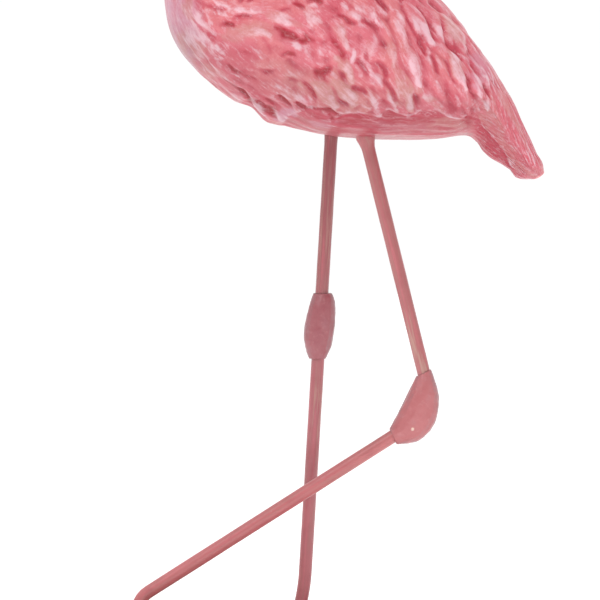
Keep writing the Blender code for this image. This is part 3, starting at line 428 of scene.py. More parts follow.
class Skin:
    """One grid of rings with its normals, its feather directions and helpers on the grid."""

    def __init__(self, rings):
        self.rings = rings
        self.shape = rings.shape[:2]
        self.along = np.gradient(rings, axis=0)
        self.around = (np.roll(rings, -1, axis=1) - np.roll(rings, 1, axis=1)) / 2
        normal = unit(np.cross(self.along, self.around))
        outward = rings - rings.mean(axis=1)[:, None, :]
        self.normal = normal * np.sign((normal * outward).sum(axis=2).mean())
        self.x, self.z = rings[:, :, 0], rings[:, :, 2]
        self.side = np.abs(self.normal[:, :, 1])
        self.flow = self.feather_directions()
        rng = np.random.default_rng(SEED + 5)
        self.warp_x, self.warp_z = (WANDER * self.cloud(rng, 9) for _ in range(2))

    def feather_directions(self):
        table = np.array(FLOW, float)
        weight = 1 / (((self.x[..., None] - table[:, 0]) ** 2
                       + (self.z[..., None] - table[:, 1]) ** 2) + 12) ** 1.6
        slope = np.radians(table[:, 2])
        level, down = ((weight * part).sum(axis=2) for part in (np.cos(slope), np.sin(slope)))
        flow = np.stack([level, np.zeros_like(level), -down], axis=2)
        return unit(flow - self.normal * (flow * self.normal).sum(axis=2)[:, :, None])

    def blur(self, values, times):
        for _ in range(times):
            values = (np.roll(values, 1, axis=1) + 2 * values + np.roll(values, -1, axis=1)) / 4
            ends = np.vstack([values[:1], values, values[-1:]])
            values = (ends[:-2] + 2 * values + ends[2:]) / 4
        return values

    def sample(self, values, i, j):
        """Values of the grid between its points."""
        rows, sides = self.shape
        i = np.clip(i, 0, rows - 1.001)
        j = j % sides
        i0, j0 = i.astype(int), j.astype(int) % sides
        j1 = (j0 + 1) % sides
        s, t = i - i0, j - np.floor(j)
        near, far = (values[row, j0] * (1 - t) + values[row, j1] * t for row in (i0, i0 + 1))
        return near * (1 - s) + far * s

    def streaks(self, rng, grain, reach):
        """Noise drawn out along the feathers: grain blurs it first, reach is in units."""
        noise = self.blur(rng.standard_normal(self.shape), grain)
        pairs = ((self.along, self.along), (self.along, self.around), (self.around, self.around),
                 (self.flow, self.along), (self.flow, self.around))
        a, b, c, p, q = ((one * other).sum(axis=2) for one, other in pairs)
        det = a * c - b * b + TINY
        steps = (c * p - b * q) / det, (a * q - b * p) / det
        total = noise.copy()
        for way in (-1, 1):
            i, j = np.indices(self.shape).astype(float)
            for _ in range(reach):
                step_i, step_j = (self.sample(step, i, j) for step in steps)
                i = np.clip(i + way * step_i, 0, self.shape[0] - 1.001)
                j = j + way * step_j
                total += self.sample(noise, i, j)
        return total / (total.std() + TINY)

    def cloud(self, rng, grain):
        noise = self.blur(rng.standard_normal(self.shape), grain)
        return noise / (noise.std() + TINY)


def tuft_style(x, z):
    """Half length, half width, height, curl and wander of a tuft at a place on the side."""
    if x > 72:
        return 15.0, 2.6, 0.70, 0.1, 0.05
    if z < 14 and x > -5:
        return 0.0, 0.0, 0.0, 0.0, 0.0
    if x > 22:
        return 11.0, 4.0, 2.60, 0.2, 0.14
    if x > -28 and z < 98:
        return 7.5, 4.0, 2.60, 0.6, 0.45
    if z > 100 and x < -40:
        return 8.0, 2.6, 0.50, 0.2, 0.15
    if x > -64 and z < 44:
        return 11.0, 2.8, 1.60, 0.3, 0.20
    if x > -64:
        return 8.0, 3.2, 1.10, 0.4, 0.35
    return 9.0, 1.7, 0.22, 0.1, 0.08


def seeds(points, rng):
    """Places for tufts, closer together where they are smaller."""
    picked = []
    for index in rng.permutation(len(points))[:TUFT_TRIES]:
        x, _, z = points[index]
        long, wide, high = tuft_style(x, z)[:3]
        if high <= 0 or z > TUFT_TOP:
            continue
        apart = 0.95 * math.sqrt(long * wide)
        gaps = ((points[picked] - points[index]) ** 2).sum(axis=1)
        if not picked or gaps.min() >= apart**2:
            picked.append(index)
    return picked


def tufts(skin, rng):
    """Height of overlapping tufts: wedges that rise to a rounded tip, with fine barbs."""
    points, normal, flow = (grid.reshape(-1, 3) for grid in (skin.rings, skin.normal, skin.flow))
    height = np.zeros(len(points))
    for index in seeds(points, rng):
        long, wide, high, curl, wander = tuft_style(points[index, 0], points[index, 2])
        long, wide = long * rng.uniform(0.8, 1.25), wide * rng.uniform(0.8, 1.2)
        high *= rng.uniform(0.7, 1.15)
        bend, turn = rng.uniform(-curl, curl), rng.uniform(-wander, wander)
        out = normal[index]
        ahead = flow[index] * math.cos(turn) + np.cross(out, flow[index]) * math.sin(turn)
        offset = points - points[index]
        near = np.nonzero((offset**2).sum(axis=1) < (1.1 * long) ** 2)[0]
        offset = offset[near]
        u = offset @ ahead / long
        v = offset @ np.cross(out, ahead) / wide - bend * u * u * long / wide * 0.5
        taper = dome(np.clip((u - 0.25) / 0.75, 0, 1), 0.5) * (0.55 + 0.45 * ramp(u, -1, 1))
        v /= taper + 1e-6
        inside = (np.abs(offset @ out) < 0.8 * long) & (np.abs(u) < 1) & (np.abs(v) < 1)
        barbs = 1 + 0.06 * np.cos(v * 7 + rng.uniform(0, 6))
        value = high * (0.10 + 0.90 * ramp(u, -1, 1.7)) * dome(v, 0.55) * barbs
        height[near[inside]] = np.maximum(height[near[inside]], value[inside])
    return height.reshape(skin.shape)


class Stroke:
    """The grid points beside one bent stroke: their distance, place along it and side."""

    def __init__(self, skin, row, reach):
        start, middle, end = (np.array(row[k:k + 2], float) for k in (0, 2, 4))
        share = np.linspace(0, 1, STROKE_POINTS)[:, None]
        bend = 2 * middle - (start + end) / 2
        curve = (1 - share) ** 2 * start + 2 * share * (1 - share) * bend + share**2 * end
        low, high = curve.min(axis=0) - reach, curve.max(axis=0) + reach
        self.at = np.nonzero((skin.x > low[0]) & (skin.x < high[0]) & (skin.z > low[1])
                             & (skin.z < high[1]) & (skin.side > 0.1))
        place = np.stack([(skin.x + skin.warp_x)[self.at], (skin.z + skin.warp_z)[self.at]], axis=1)
        gap = np.linalg.norm(place[:, None] - curve[None], axis=2)
        self.distance = gap.min(axis=1)
        self.along = gap.argmin(axis=1) / (STROKE_POINTS - 1)
        self.facing = ramp(skin.side[self.at], 0.15, 0.3)

    def lift(self, field, values):
        """Bring a field beside the stroke up to these values at least."""
        field[self.at] = np.maximum(field[self.at], values)


def carved_marks(skin):
    """Relief of the placed locks and gouges, and where the paint is pale, tan, or dark in the
    gouges as painted shade.
    """
    raised, moat, cut, pale, tan, deep, inside = (np.zeros(skin.shape) for _ in range(7))
    for row in LOCKS:
        wide, high, light, warm = row[6:]
        stroke = Stroke(skin, row, wide * 1.3 + 1.5)
        along = stroke.along
        rise = 0.20 + 0.80 * smoothstep(along * 1.3)
        taper = 0.45 + 0.55 * smoothstep(along * 2.2)
        taper *= 1 - 0.50 * ramp(along, 0.55, 0.45)
        reach = stroke.distance / (wide * taper)
        crown = dome(reach, 0.7) * stroke.facing
        rim = np.exp(-(((reach - 1.12) * wide * taper / 0.5) ** 2)) * stroke.facing
        soft, light = (0.6, light) if wide > THIN_LOCK else (0.5, 1.4 * light)
        stroke.lift(raised, high * rise * crown)
        stroke.lift(inside, smoothstep(crown * 1.6))
        stroke.lift(moat, 0.30 * high * rim * rise)
        stroke.lift(pale, light * dome(reach, soft) * (0.25 + 0.75 * smoothstep(along * 1.4)))
        stroke.lift(tan, warm * smoothstep(crown * 1.5))
    for row in GOUGES:
        wide, depth = row[6:]
        stroke = Stroke(skin, row, wide * 1.5)
        ends = np.sqrt(np.clip(1 - (2 * stroke.along - 1) ** 4, 0, 1)) * 0.75 + 0.25
        reach = stroke.distance / (wide * ends)
        core = np.clip(1 - reach / 1.4, 0, 1) ** 1.2 * stroke.facing
        core *= min(1.0, 0.25 + depth / 2.4) * (1.7 if wide < THIN_GOUGE else 1.0)
        stroke.lift(cut, depth * np.clip(1 - reach**2 * 0.6, 0, 1) ** 2 * stroke.facing)
        stroke.lift(deep, core)
    return raised - moat * (1 - inside) - cut, inside, skin.blur(pale, 2), tan, skin.blur(deep, 1)


def body_relief(skin, rng):
    """Relief of the feathered body, with what the paint needs to know about it."""
    x, z, side, m = skin.x, skin.z, skin.side, SimpleNamespace()
    above = z - np.interp(x, *np.transpose(PLUMAGE_EDGE))
    above -= 0.5 * skin.streaks(rng, 6, 8) * ramp(x, -10, 10)
    m.cover = ramp(above, 0, 1.2)
    m.rim = bell(above, 0.8, 0.9) * ramp(x, -26, 8)
    m.tail, m.breast = ramp(x, 70, 8), ramp(x, -60, -14)
    neck = ramp(z, 92, 26) * ramp(x, -30, -14)
    height = tufts(skin, rng)
    carved, inside, m.pale, m.tan, m.deep = carved_marks(skin)
    m.broad, m.fine, m.hair = (skin.streaks(rng, *size) for size in ((8, 16), (2, 9), (0, 5)))
    lumps = skin.cloud(rng, 30)
    folds = skin.streaks(rng, 14, 22)
    placed = skin.blur(((z < 74) & (side > 0.3)).astype(float), 12)
    relief = 0.92 * (height - skin.blur(height, 60)) * (1 - 0.22 * placed) * (1 - 0.75 * inside)
    relief *= (1 - 0.5 * m.tail) * (0.45 + 0.55 * ramp(side, 0, 0.45))
    rough = (1 - 0.75 * m.breast) * (1 - 0.7 * neck) * (0.5 + 0.5 * ramp(x, -4, 24))
    relief += rough * (0.36 * m.broad + 0.20 * m.fine + 0.05 * m.hair) * (1 - 0.4 * m.tail)
    relief += 0.32 * lumps * (1 - m.tail) * (1 - 0.8 * m.breast) + 0.10 * m.fine * m.tail
    where = (1 - 0.8 * m.breast) * (0.4 + 0.6 * ramp(x, -10, 30)) * (1 - 0.6 * m.tail)
    where *= (1 - 0.6 * inside) * (1 - 0.7 * neck) * m.cover
    m.valley = bell(folds, 0, 0.20) * where
    m.crest = bell(np.abs(folds), 0.9, 0.14) * where
    # Underside edge of the front: a groove in the relief, and painted shade in the paint below.
    m.keel = smoothstep(0.35 - skin.normal[:, :, 2] * 1.2 - side)
    m.keel *= ramp(x, -66, 8) * ramp(x, -24, -8) * ramp(skin.streaks(rng, 5, 18), 0.1, -0.7)
    curls = ramp(x, -80, 8) * ramp(x, -46, -8) * ramp(z, 30, 8) * ramp(z, 84, -10)
    curls *= ramp(side, 0.2, 0.3)
    relief += curls * (0.38 * skin.cloud(rng, 7) + 0.16 * skin.cloud(rng, 2))
    relief += 0.90 * carved - 0.45 * m.valley - 0.80 * m.keel
    bare = 0.22 * m.broad + 0.12 * m.fine
    relief = relief * m.cover + bare * (1 - m.cover) + 0.9 * (m.cover - 0.75) + 0.35 * m.rim
    relief += 1.3 * bell(x, -31, 4.5) * bell(z, 8.5, 6) - 1.5 * bell(x, -41, 5) * bell(z, 14, 6)
    relief *= smoothstep(np.arange(skin.shape[0])[:, None] / TIP_FADE_RINGS)
    m.lined = 0.22 + 0.26 * (1 - m.cover) + 0.55 * m.tail + 0.20 * m.breast + 0.12 * ramp(x, 0, 30)
    m.lined = np.clip(m.lined, 0, 1)
    return skin.blur(relief, 1), m


def feather_lay(skin):
    """How much of each of three slopes the feathers have: level, mid and steep."""
    slope = np.degrees(np.arctan2(-skin.flow[:, :, 2], np.abs(skin.flow[:, :, 0]) + TINY))
    level, steep = ramp(slope, 30, -18), ramp(slope, 48, 12)
    return np.stack([level, 1 - level - steep, steep], axis=2)


def body_paint(skin, relief, m, rng):
    """Base colour of the plumage, how far it is washed darker, dry brushed and painted dark, and a
    tone; the darkening is partly and the tone wholly painted shade.
    """
    x, z, side = skin.x, skin.z, skin.side
    cavity, crease = (skin.blur(relief, times) - relief for times in (22, 5))
    patches, mottle, spots = (skin.cloud(rng, grain) for grain in (70, 6, 14))
    under_tail = (1 - m.cover) * ramp(x, 68, 6)
    belly = (1 - m.cover) * (1 - under_tail)
    under = ramp(z, 34, -20) * ramp(x, -66, 20)
    shade = ramp(x, -44, -20) * ramp(z, 66, -8)
    colour = to_linear(BASE_PINK)
    for tone, amount in ((WARM_PINK, 0.6 * ramp(patches, -0.2, 1.4)),
                         (DUSTY_TAN, 0.45 * ramp(spots + patches, 0, 1.6) * under),
                         (DUSTY_TAN, 0.85 * m.tan * ramp(mottle, -2.2, 2.0)),
                         (BELLY_PINK, 0.95 * belly),
                         (DUSTY_TAN, 0.6 * shade * ramp(spots, 0.2, 0.8)),
                         (LAVENDER, m.breast * (0.72 + 0.16 * mottle))):
        colour = blend(colour, tone, amount)
    light = np.zeros(skin.shape)
    for patch_x, patch_z, wide, tall, strength, tone in PATCHES:
        gap = np.hypot((x + PATCH_WANDER * skin.warp_x - patch_x) / wide,
                       (z + PATCH_WANDER * skin.warp_z - patch_z) / tall) + 0.16 * mottle
        shown = strength * ramp(gap, 1.15, -0.45) * ramp(side, 0.1, 0.2)
        if PATCH_TONES[tone] == PALE_PINK:
            light = np.maximum(light, shown * ramp(mottle + m.fine, -1.6, 2.4))
        else:
            colour = blend(colour, PATCH_TONES[tone], shown)
    # Darker washes: partly real paint in the hollows, creases and fold valleys, and partly painted
    # shade there; under the tail and along the underside edge of the front they are painted shade.
    wash_and_shade = 0.72 * ramp(cavity, 0, 2) + 0.34 * ramp(crease, 0, 0.45)
    wash_and_shade = wash_and_shade * (1 - 0.5 * m.breast) + 0.65 * m.deep - 0.5 * m.pale + 0.42 * m.valley
    wash_and_shade += 0.95 * m.keel + 0.12 * m.tail + 0.12 * ramp(m.fine, 0, -1.6) + 1.3 * under_tail
    wash_and_shade += 0.7 * belly * ramp(m.broad, 0.3, 1) - 0.06 * ramp(x, 10, 14) * (1 - m.tail)
    brush = 0.55 * ramp(cavity, 0, -1.2) * ramp(spots + m.fine, -0.7, 2.2) + light
    brush += 0.95 * m.pale * ramp(mottle, -2, 2.2) + 0.20 * ramp(m.hair, 1.2, 1) * (1 - m.deep)
    brush += belly * (0.40 * ramp(m.fine, 0.9, 0.6) - 0.14)
    brush += 0.45 * m.tail * m.cover * ramp(m.fine, 0.3, 1.2)
    brush += 0.30 * m.crest * ramp(spots, -0.8, 1.6) + 0.65 * m.rim * ramp(mottle, -1, 2)
    brush += 0.30 * ramp(crease, 0, -0.35) * m.cover * ramp(spots, -1.2, 1.6)
    crazed = ramp(x, -48, -8) * ramp(z, 68, -6) * side
    brush += 0.55 * crazed * ramp(skin.cloud(rng, 1) + 0.4 * spots, 0.5, 0.8)
    brush += 0.8 * ramp(skin.streaks(rng, 0, 3) + m.tail, 2.5, 0.5)
    # Dark wine paint in the gouges, under the tail and along the underside edge of the front:
    # painted shade.
    deep = ramp(m.deep, 0.12, 0.8) * smoothstep(0.3 + cavity / 1.4) * (1 - 0.72 * ramp(x, 2, 12))
    deep += 0.30 * under_tail + 0.90 * m.keel
    # Painted shade: the colour is darkened on faces turned down, over the breast, in the hollows
    # and along the underside edge of the front.
    hollow_shade = ramp(cavity, 0, 2.2) * m.cover * (1 - deep)
    tone = 1.05 - 0.28 * ramp(skin.normal[:, :, 2], 0, -0.6) - 0.13 * m.breast - 0.30 * hollow_shade
    tone -= 0.08 * m.keel
    return colour, dict(brush=brush, wash_and_shade=wash_and_shade, deep=deep, tone=tone, lined=m.lined)


def plain_relief(skin, rng):
    """Neck, head and bill: smooth, with faint strokes and lumps."""
    return 0.05 * skin.streaks(rng, 1, 6) + 0.10 * skin.cloud(rng, 12)


def head_paint(skin, to_tip, rng):
    """Pink neck and head, a pale bill and its black tip, by the distance to the bill's tip."""
    mottle, patches = skin.cloud(rng, 5), skin.cloud(rng, 30)
    fine = skin.streaks(rng, 1, 5)
    wave = 1.5 * np.cos(4 * math.pi * np.arange(skin.shape[1]) / skin.shape[1])[None, :]
    bill = smoothstep((BILL_START - to_tip[:, None] + wave + 0.3 * mottle) / 2.0)
    tip = smoothstep((BILL_TIP - to_tip[:, None] - wave + 0.2 * mottle) / 1.4)
    colour = blend(to_linear(BASE_PINK), DEEP_CORAL, 0.18 + 0.12 * patches + 0.08 * fine)
    colour = blend(colour, PALE_PINK, 0.30 * ramp(mottle + fine, 0.4, 1.6))
    colour = blend(colour, BILL_CREAM, bill * (0.88 + 0.06 * mottle))
    return blend(colour, BILL_BLACK, tip * (0.96 + 0.03 * fine))


# Meshes

def join_loops(bm, low, high):
    count = len(low)
    for k in range(count):
        n = (k + 1) % count
        bm.faces.new((low[k], low[n], high[n], high[k]))


def add_tube(bm, rings):
    """Loops of vertices on the rings, joined one to the next."""
    loops = [[bm.verts.new(point) for point in ring] for ring in rings]
    for low, high in zip(loops, loops[1:]):
        join_loops(bm, low, high)
    return loops


def close_end(bm, loop, inside, depth):
    """Rounded end over a tube's outer loop, pushed away from a loop further in."""
    centre, inner = (sum((v.co for v in one), Vector()) / len(one) for one in (loop, inside))
    push = (centre - inner).normalized() * depth
    ring = loop
    for share, lift in END_STEPS:
        new = [bm.verts.new(centre + (v.co - centre) * share + push * lift) for v in ring]
        join_loops(bm, loop, new)
        loop = new
    bm.faces.new(loop)


def close_mesh(bm, name):
    bmesh.ops.recalc_face_normals(bm, faces=bm.faces)
    mesh = bpy.data.meshes.new(name)
    bm.to_mesh(mesh)
    bm.free()
    mesh.shade_smooth()
    return mesh


def new_object(name, data):
    obj = bpy.data.objects.new(name, data)
    bpy.context.scene.collection.objects.link(obj)
    return obj


def set_field(mesh, name, kind, values):
    """Give a mesh an attribute with one value a vertex; a colour is made opaque."""
    attribute = mesh.attributes.new(name, kind, "POINT")
    key = {"FLOAT_COLOR": "color", "FLOAT_VECTOR": "vector", "FLOAT": "value"}[kind]
    if kind == "FLOAT_COLOR":
        values = np.column_stack([values, np.ones(len(values))])
    attribute.data.foreach_set(key, np.ascontiguousarray(values, np.float32).ravel())


def vertex_field(mesh, key):
    values = np.empty(len(mesh.vertices) * 3)
    mesh.vertices.foreach_get(key, values)
    return values.reshape(-1, 3)


def spread(body_values, neck_values):
    """Values of both grids and of the casting's rounded ends, in the order of the vertices."""
    width = body_values[0, 0].size
    ends = [np.tile(values.reshape(width), (len(END_STEPS) * sides, 1)) for values, sides in
            ((body_values[0, 0], BODY_SIDES), (neck_values[-1, 0], NECK_SIDES))]
    return np.vstack([body_values.reshape(-1, width), neck_values.reshape(-1, width)] + ends)


def make_casting():
    """The body, neck and head as one dense mesh, with its paint in attributes."""
    rng = np.random.default_rng(SEED)
    body_sections, neck_sections, neck_places = dense_sections()
    body = Skin(ring_points(body_sections, BODY_SIDES))
    neck = Skin(ring_points(neck_sections, NECK_SIDES))
    relief, marks = body_relief(body, rng)
    paint, fields = body_paint(body, relief, marks, rng)
    relief = relief * ramp(np.arange(len(relief)), len(relief) - 1, -NECK_FADE_RINGS)[:, None]
    bm = bmesh.new()
    fine, coarse = (
        add_tube(bm, (skin.rings + skin.normal * height[:, :, None]) * UNIT + (HIP[0], 0, HIP[1]))
        for skin, height in ((body, relief), (neck, plain_relief(neck, rng))))
    last, first = fine[-1], coarse[0]
    for k in range(len(first)):
        n = (k + 1) % len(first)
        a, b, c = last[2 * k], last[2 * k + 1], last[(2 * k + 2) % len(last)]
        for face in ((a, b, first[k]), (b, c, first[n]), (b, first[n], first[k])):
            bm.faces.new(face)
    close_end(bm, fine[0], fine[3], 1.2 * UNIT)
    close_end(bm, coarse[-1], coarse[-2], 0.8 * UNIT)
    mesh = close_mesh(bm, "casting")
    start = ramp(neck_places, neck_places[0], NECK_BLEND)[:, None]
    neck_paint = head_paint(neck, neck_places[-1] - neck_places, rng) * start[:, :, None]
    neck_paint += paint[-1, ::2][None] * (1 - start[:, :, None])
    set_field(mesh, "paint", "FLOAT_COLOR", spread(paint, neck_paint))
    set_field(mesh, "lay", "FLOAT_VECTOR", spread(feather_lay(body), feather_lay(neck)))
    for name, values in fields.items():
        plain = NECK_FIELDS[name] * start + values[-1, ::2][None] * (1 - start)
        set_field(mesh, name, "FLOAT", spread(values, plain))
    return new_object("casting", mesh)


# Materials

class Nodes:
    """Short helpers for the nodes of a material or world."""

    def __init__(self, tree):
        self.nodes, self.links = tree.nodes, tree.links

    def plug(self, socket, value):
        """Link a socket to another one, or hold a plain value in it."""
        if isinstance(value, bpy.types.NodeSocket):
            self.links.new(value, socket)
        else:
            socket.default_value = value

    def fill(self, node, **inputs):
        """Fill a node's inputs, with an underscore for each space in their names."""
        for key, value in inputs.items():
            if value is not None:
                self.plug(node.inputs[key.replace("_", " ")], value)
        return node

    def node(self, kind, **inputs):
        return self.fill(self.nodes.new("ShaderNode" + kind), **inputs)

    def span(self, value, low, high, to_low=0.0, to_high=1.0):
        made = self.node("MapRange", Value=value, From_Min=low, From_Max=high, To_Min=to_low,
                         To_Max=to_high)
        return made.outputs["Result"]


class Paint(Nodes):
    """A Principled material, with a colour given as a socket or as it looks."""

    def __init__(self, name, roughness, coat=0.0):
        self.material = bpy.data.materials.new(name)
        self.material.use_nodes = True
        super().__init__(self.material.node_tree)
        self.shader = self.nodes["Principled BSDF"]
        self.fill(self.shader, Roughness=roughness, Coat_Weight=coat, Coat_Roughness=0.25)
        self.place = self.node("TexCoord").outputs["Object"]

    def attribute(self, name, output="Fac"):
        made = self.node("Attribute")
        made.attribute_name = name
        return made.outputs[output]

    def mapped(self, vector, kind, scale, turn=(0, 0, 0)):
        """A vector scaled, or as TEXTURE measured along turned axes in steps of that size."""
        made = self.node("Mapping", Vector=vector, Rotation=turn, Scale=scale)
        made.vector_type = kind
        return made.outputs["Vector"]

    def combine(self, mode, first, second):
        made = self.node("Math")
        made.operation = mode
        for index, value in enumerate((first, second)):
            self.plug(made.inputs[index], value)
        return made.outputs[0]

    def noise(self, scale, detail=4.0, rough=0.6, vector=None):
        made = self.node("TexNoise", Vector=vector or self.place, Scale=scale, Detail=detail,
                         Roughness=rough)
        return made.outputs["Fac"]

    def mix(self, amount, first, second, mode="MIX"):
        made = self.node("Mix")
        made.data_type = "RGBA"
        made.blend_type = mode
        self.plug(made.inputs[0], amount)
        for index, value in ((6, first), (7, second)):
            if not isinstance(value, bpy.types.NodeSocket):
                value = (*to_linear(value), 1.0)
            self.plug(made.inputs[index], value)
        return made.outputs[2]

    def cover(self, under, over, field, low, high, most=1.0):
        """One colour over another, up to its most where a field has gone from low to high."""
        return self.mix(self.span(field, low, high, 0.0, most), under, over)

    def bump(self, height, strength, distance, normal=None):
        made = self.node("Bump", Height=height, Strength=strength, Distance=distance,
                         Normal=normal)
        return made.outputs["Normal"]

    def finish(self, colour, roughness=None, normal=None):
        self.fill(self.shader, Base_Color=colour, Roughness=roughness, Normal=normal)
        return self.material


def casting_paint():
    """Painted resin of the body: base colour, darker washes in the hollows that are partly painted
    shade, dark paint and a tone of painted shade, and dry brushing on the tips.
    """
    p = Paint("painted_pink_resin", 0.38, 0.15)
    share = p.node("SeparateXYZ", Vector=p.attribute("lay", "Vector"))
    hair = None
    for k, slope in enumerate(LAY_SLOPES):
        turned = p.mapped(p.place, "TEXTURE", (0.0060, 0.0011, 0.0011), (0, math.radians(slope), 0))
        part = p.combine("MULTIPLY", share.outputs[k], p.noise(1.0, 3.0, 0.55, turned))
        hair = p.combine("ADD", hair, part) if hair else part
    blotch, grain, ragged = p.noise(150.0), p.noise(480.0, 3.0), p.noise(800.0, 4.0, 0.65)

    def torn(name, noise, most):
        """A painted field with its edge torn by noise."""
        return p.combine("ADD", p.attribute(name), p.span(noise, 0.2, 0.8, -most, most))

    brush = p.combine("ADD", torn("brush", hair, 0.34), p.span(ragged, 0.2, 0.8, -0.30, 0.30))
    colour = p.cover(p.attribute("paint", "Color"), DEEP_CORAL, blotch, 0.52, 0.78, 0.28)
    # Coral where the plumage is washed darker, partly painted shade, and dark wine in the gouges,
    # under the tail and under the front, which is painted shade.
    colour = p.cover(colour, DEEP_CORAL, torn("wash_and_shade", ragged, 0.28), -0.05, 0.90)
    colour = p.cover(colour, DARK_WINE, torn("deep", ragged, 0.14), 0.20, 1.10, 0.70)
    colour = p.cover(colour, PALE_PINK, brush, 0.10, 0.92, 0.86)
    colour = p.cover(colour, PALE_PINK, grain, 0.52, 0.80, 0.20)
    shown = p.attribute("lined")
    light = p.combine("MULTIPLY", shown, p.span(hair, 0.54, 0.70, 0.0, 0.45))
    dark = p.combine("MULTIPLY", shown, p.span(hair, 0.46, 0.30, 0.0, 0.55))
    colour = p.mix(dark, p.mix(light, colour, PALE_PINK), DEEP_CORAL)
    # The tone multiplies the colour: painted shade on faces turned down, over the breast and in the
    # hollows.
    colour = p.mix(1.0, colour, p.attribute("tone"), "MULTIPLY")
    lines = p.combine("MULTIPLY", shown, hair)
    normal = p.bump(lines, 0.45, 0.0007, p.bump(grain, 0.12, 0.0003, p.bump(blotch, 0.20, 0.0008)))
    return p.finish(colour, p.span(grain, 0.3, 0.7, 0.30, 0.48), normal)


def rod_paint():
    """Rose paint on a rod: its colour by height, darker under the body as painted shade, with
    streaks along the leg, small scratches and rubbed grey-brown marks.
    """
    p = Paint("rose_rod_paint", 0.34, 0.15)
    along = p.attribute("along", "Vector")
    streak = p.noise(1.0, vector=p.mapped(along, "POINT", (700.0, 700.0, 30.0)))
    patch = p.noise(90.0)
    fleck = p.noise(1.0, 2.0, 0.5, p.mapped(along, "POINT", (1500.0, 1500.0, 160.0)))
    rubbed = p.combine("MULTIPLY", p.attribute("wear"), p.span(streak, 0.50, 0.60))
    tint = p.cover(p.attribute("paint", "Color"), ROD_WORN, streak, 0.50, 0.72, 0.60)
    tint = p.cover(tint, ROD_STREAK, streak, 0.48, 0.30, 0.45)
    tint = p.mix(rubbed, tint, WORN_TAN)
    tint = p.cover(tint, ROD_PATCH, patch, 0.50, 0.75, 0.40)
    tint = p.cover(tint, ROD_FLECK, fleck, 0.74, 0.80, 0.5)
    normal = p.bump(streak, 0.25, 0.0002, p.bump(patch, 0.3, 0.0003))
    return p.finish(tint, p.span(streak, 0.3, 0.7, 0.26, 0.44), normal)


def lump_paint(name, main_tone, shade, light):
    """Smooth satin rose paint of the knees and feet, uneven in tone, with an odd chip, a painted
    sheen, and greying where a knee turns from the front: painted shade with wear.
    """
    p = Paint(name, 0.36, 0.15)
    cloud, shine = p.noise(110.0), p.noise(420.0, 3.0)
    # Greying at the knees' rims: painted shade, with some wear.
    rubbed = p.combine("MULTIPLY", p.attribute("rim_shade_and_wear"), p.span(shine, 0.35, 0.60, 0.15, 0.75))
    tint = p.cover(main_tone, shade, cloud, 0.48, 0.70, 0.65)
    tint = p.cover(tint, light, cloud, 0.46, 0.30, 0.60)
    tint = p.cover(tint, KNEE_SHEEN, shine, 0.55, 0.8, 0.20)
    tint = p.mix(p.attribute("chip"), p.mix(rubbed, tint, WORN_SHADE_MAUVE), CHIP_CREAM)
    normal = p.bump(cloud, 0.25, 0.0005, p.bump(shine, 0.2, 0.0002))
    return p.finish(tint, p.span(shine, 0.3, 0.7, 0.30, 0.48), normal)


def base_paint():
    """Matt sand-coloured base with grit, pores and a cloudy rosy tint."""
    p = Paint("painted_sand_resin", 0.7)
    grit, cloud = p.noise(700.0, 5.0, 0.7), p.noise(60.0)
    tint = p.cover(SAND_SHADE, BASE_SAND, grit, 0.3, 0.7)
    tint = p.cover(tint, SAND_ROSE, cloud, 0.4, 0.7, 0.5)
    normal = p.bump(grit, 0.5, 0.0006, p.bump(cloud, 0.3, 0.001))
    return p.finish(tint, p.span(grit, 0.3, 0.7, 0.6, 0.82), normal)


def eye_paint():
    """Glossy eye, its pupil and rim painted in the mesh, with a faint golden grain."""
    p = Paint("painted_eye", 0.12, 0.8)
    grain = p.noise(2500.0, 2.0, 0.5)
    return p.finish(p.cover(p.attribute("paint", "Color"), IRIS_GOLD, grain, 0.4, 0.7, 0.15))


# Rods, knees, feet, base and eyes

ROD_RADIUS = 0.0033
ROD_SIDES = 28
ROD_STEP = 0.0025
ROD_WOBBLE = 0.00004
WOBBLE_POINTS = 40
STANDING_Y = 0.010
RAISED_Y = -0.010
RAISED_COLLAR_FLARE = 0.0016
STANDING_COLLAR_FLARE = 0.0002
COLLAR_LENGTH = 0.0065
STANDING_LEAN = math.radians(3.4)
ANKLE_LEAN = math.radians(11)
ANKLE_BEND_HEIGHT = 0.017
ANKLE_BEND_REACH = 0.006
BELLY_SOCKET_DEPTH = 0.018
BASE_SOCKET_DEPTH = 0.006
STANDING_BELLY_RISE = 0.0026
HIP_SPACING = 0.0175
RAISED_BELLY_RISE = 0.0003
THIGH_LEAN = math.radians(13.9)
RAISED_KNEE_HEIGHT = 0.1066
KNEE_BEND_RADIUS = 0.010
RAISED_ANKLE_HEIGHT = 0.0158
SHANK_SLOPE = math.radians(32.5)
TOE_CURL_RADIUS = 0.012
TOE_CURL_SLOPE = math.radians(70)
RAISED_ROD_STOP = 0.0035
# Mesh size of the remeshed pieces
KNEE_VOXEL = 0.00045
FOOT_VOXEL = 0.00050
BASE_VOXEL = 0.0011
# Chips lie this far from the raised knee's middle plane, on the near side
CHIP_SIDE = 0.003
# The feet stay smooth up to this height above the base, and its ground is sunk a little
SOLE_HEIGHT = 0.0006
GROUND_SINK = 0.00025


def down_to(start, z, direction, slope):
    return start[0] + direction * (start[1] - z) / math.tan(slope), z


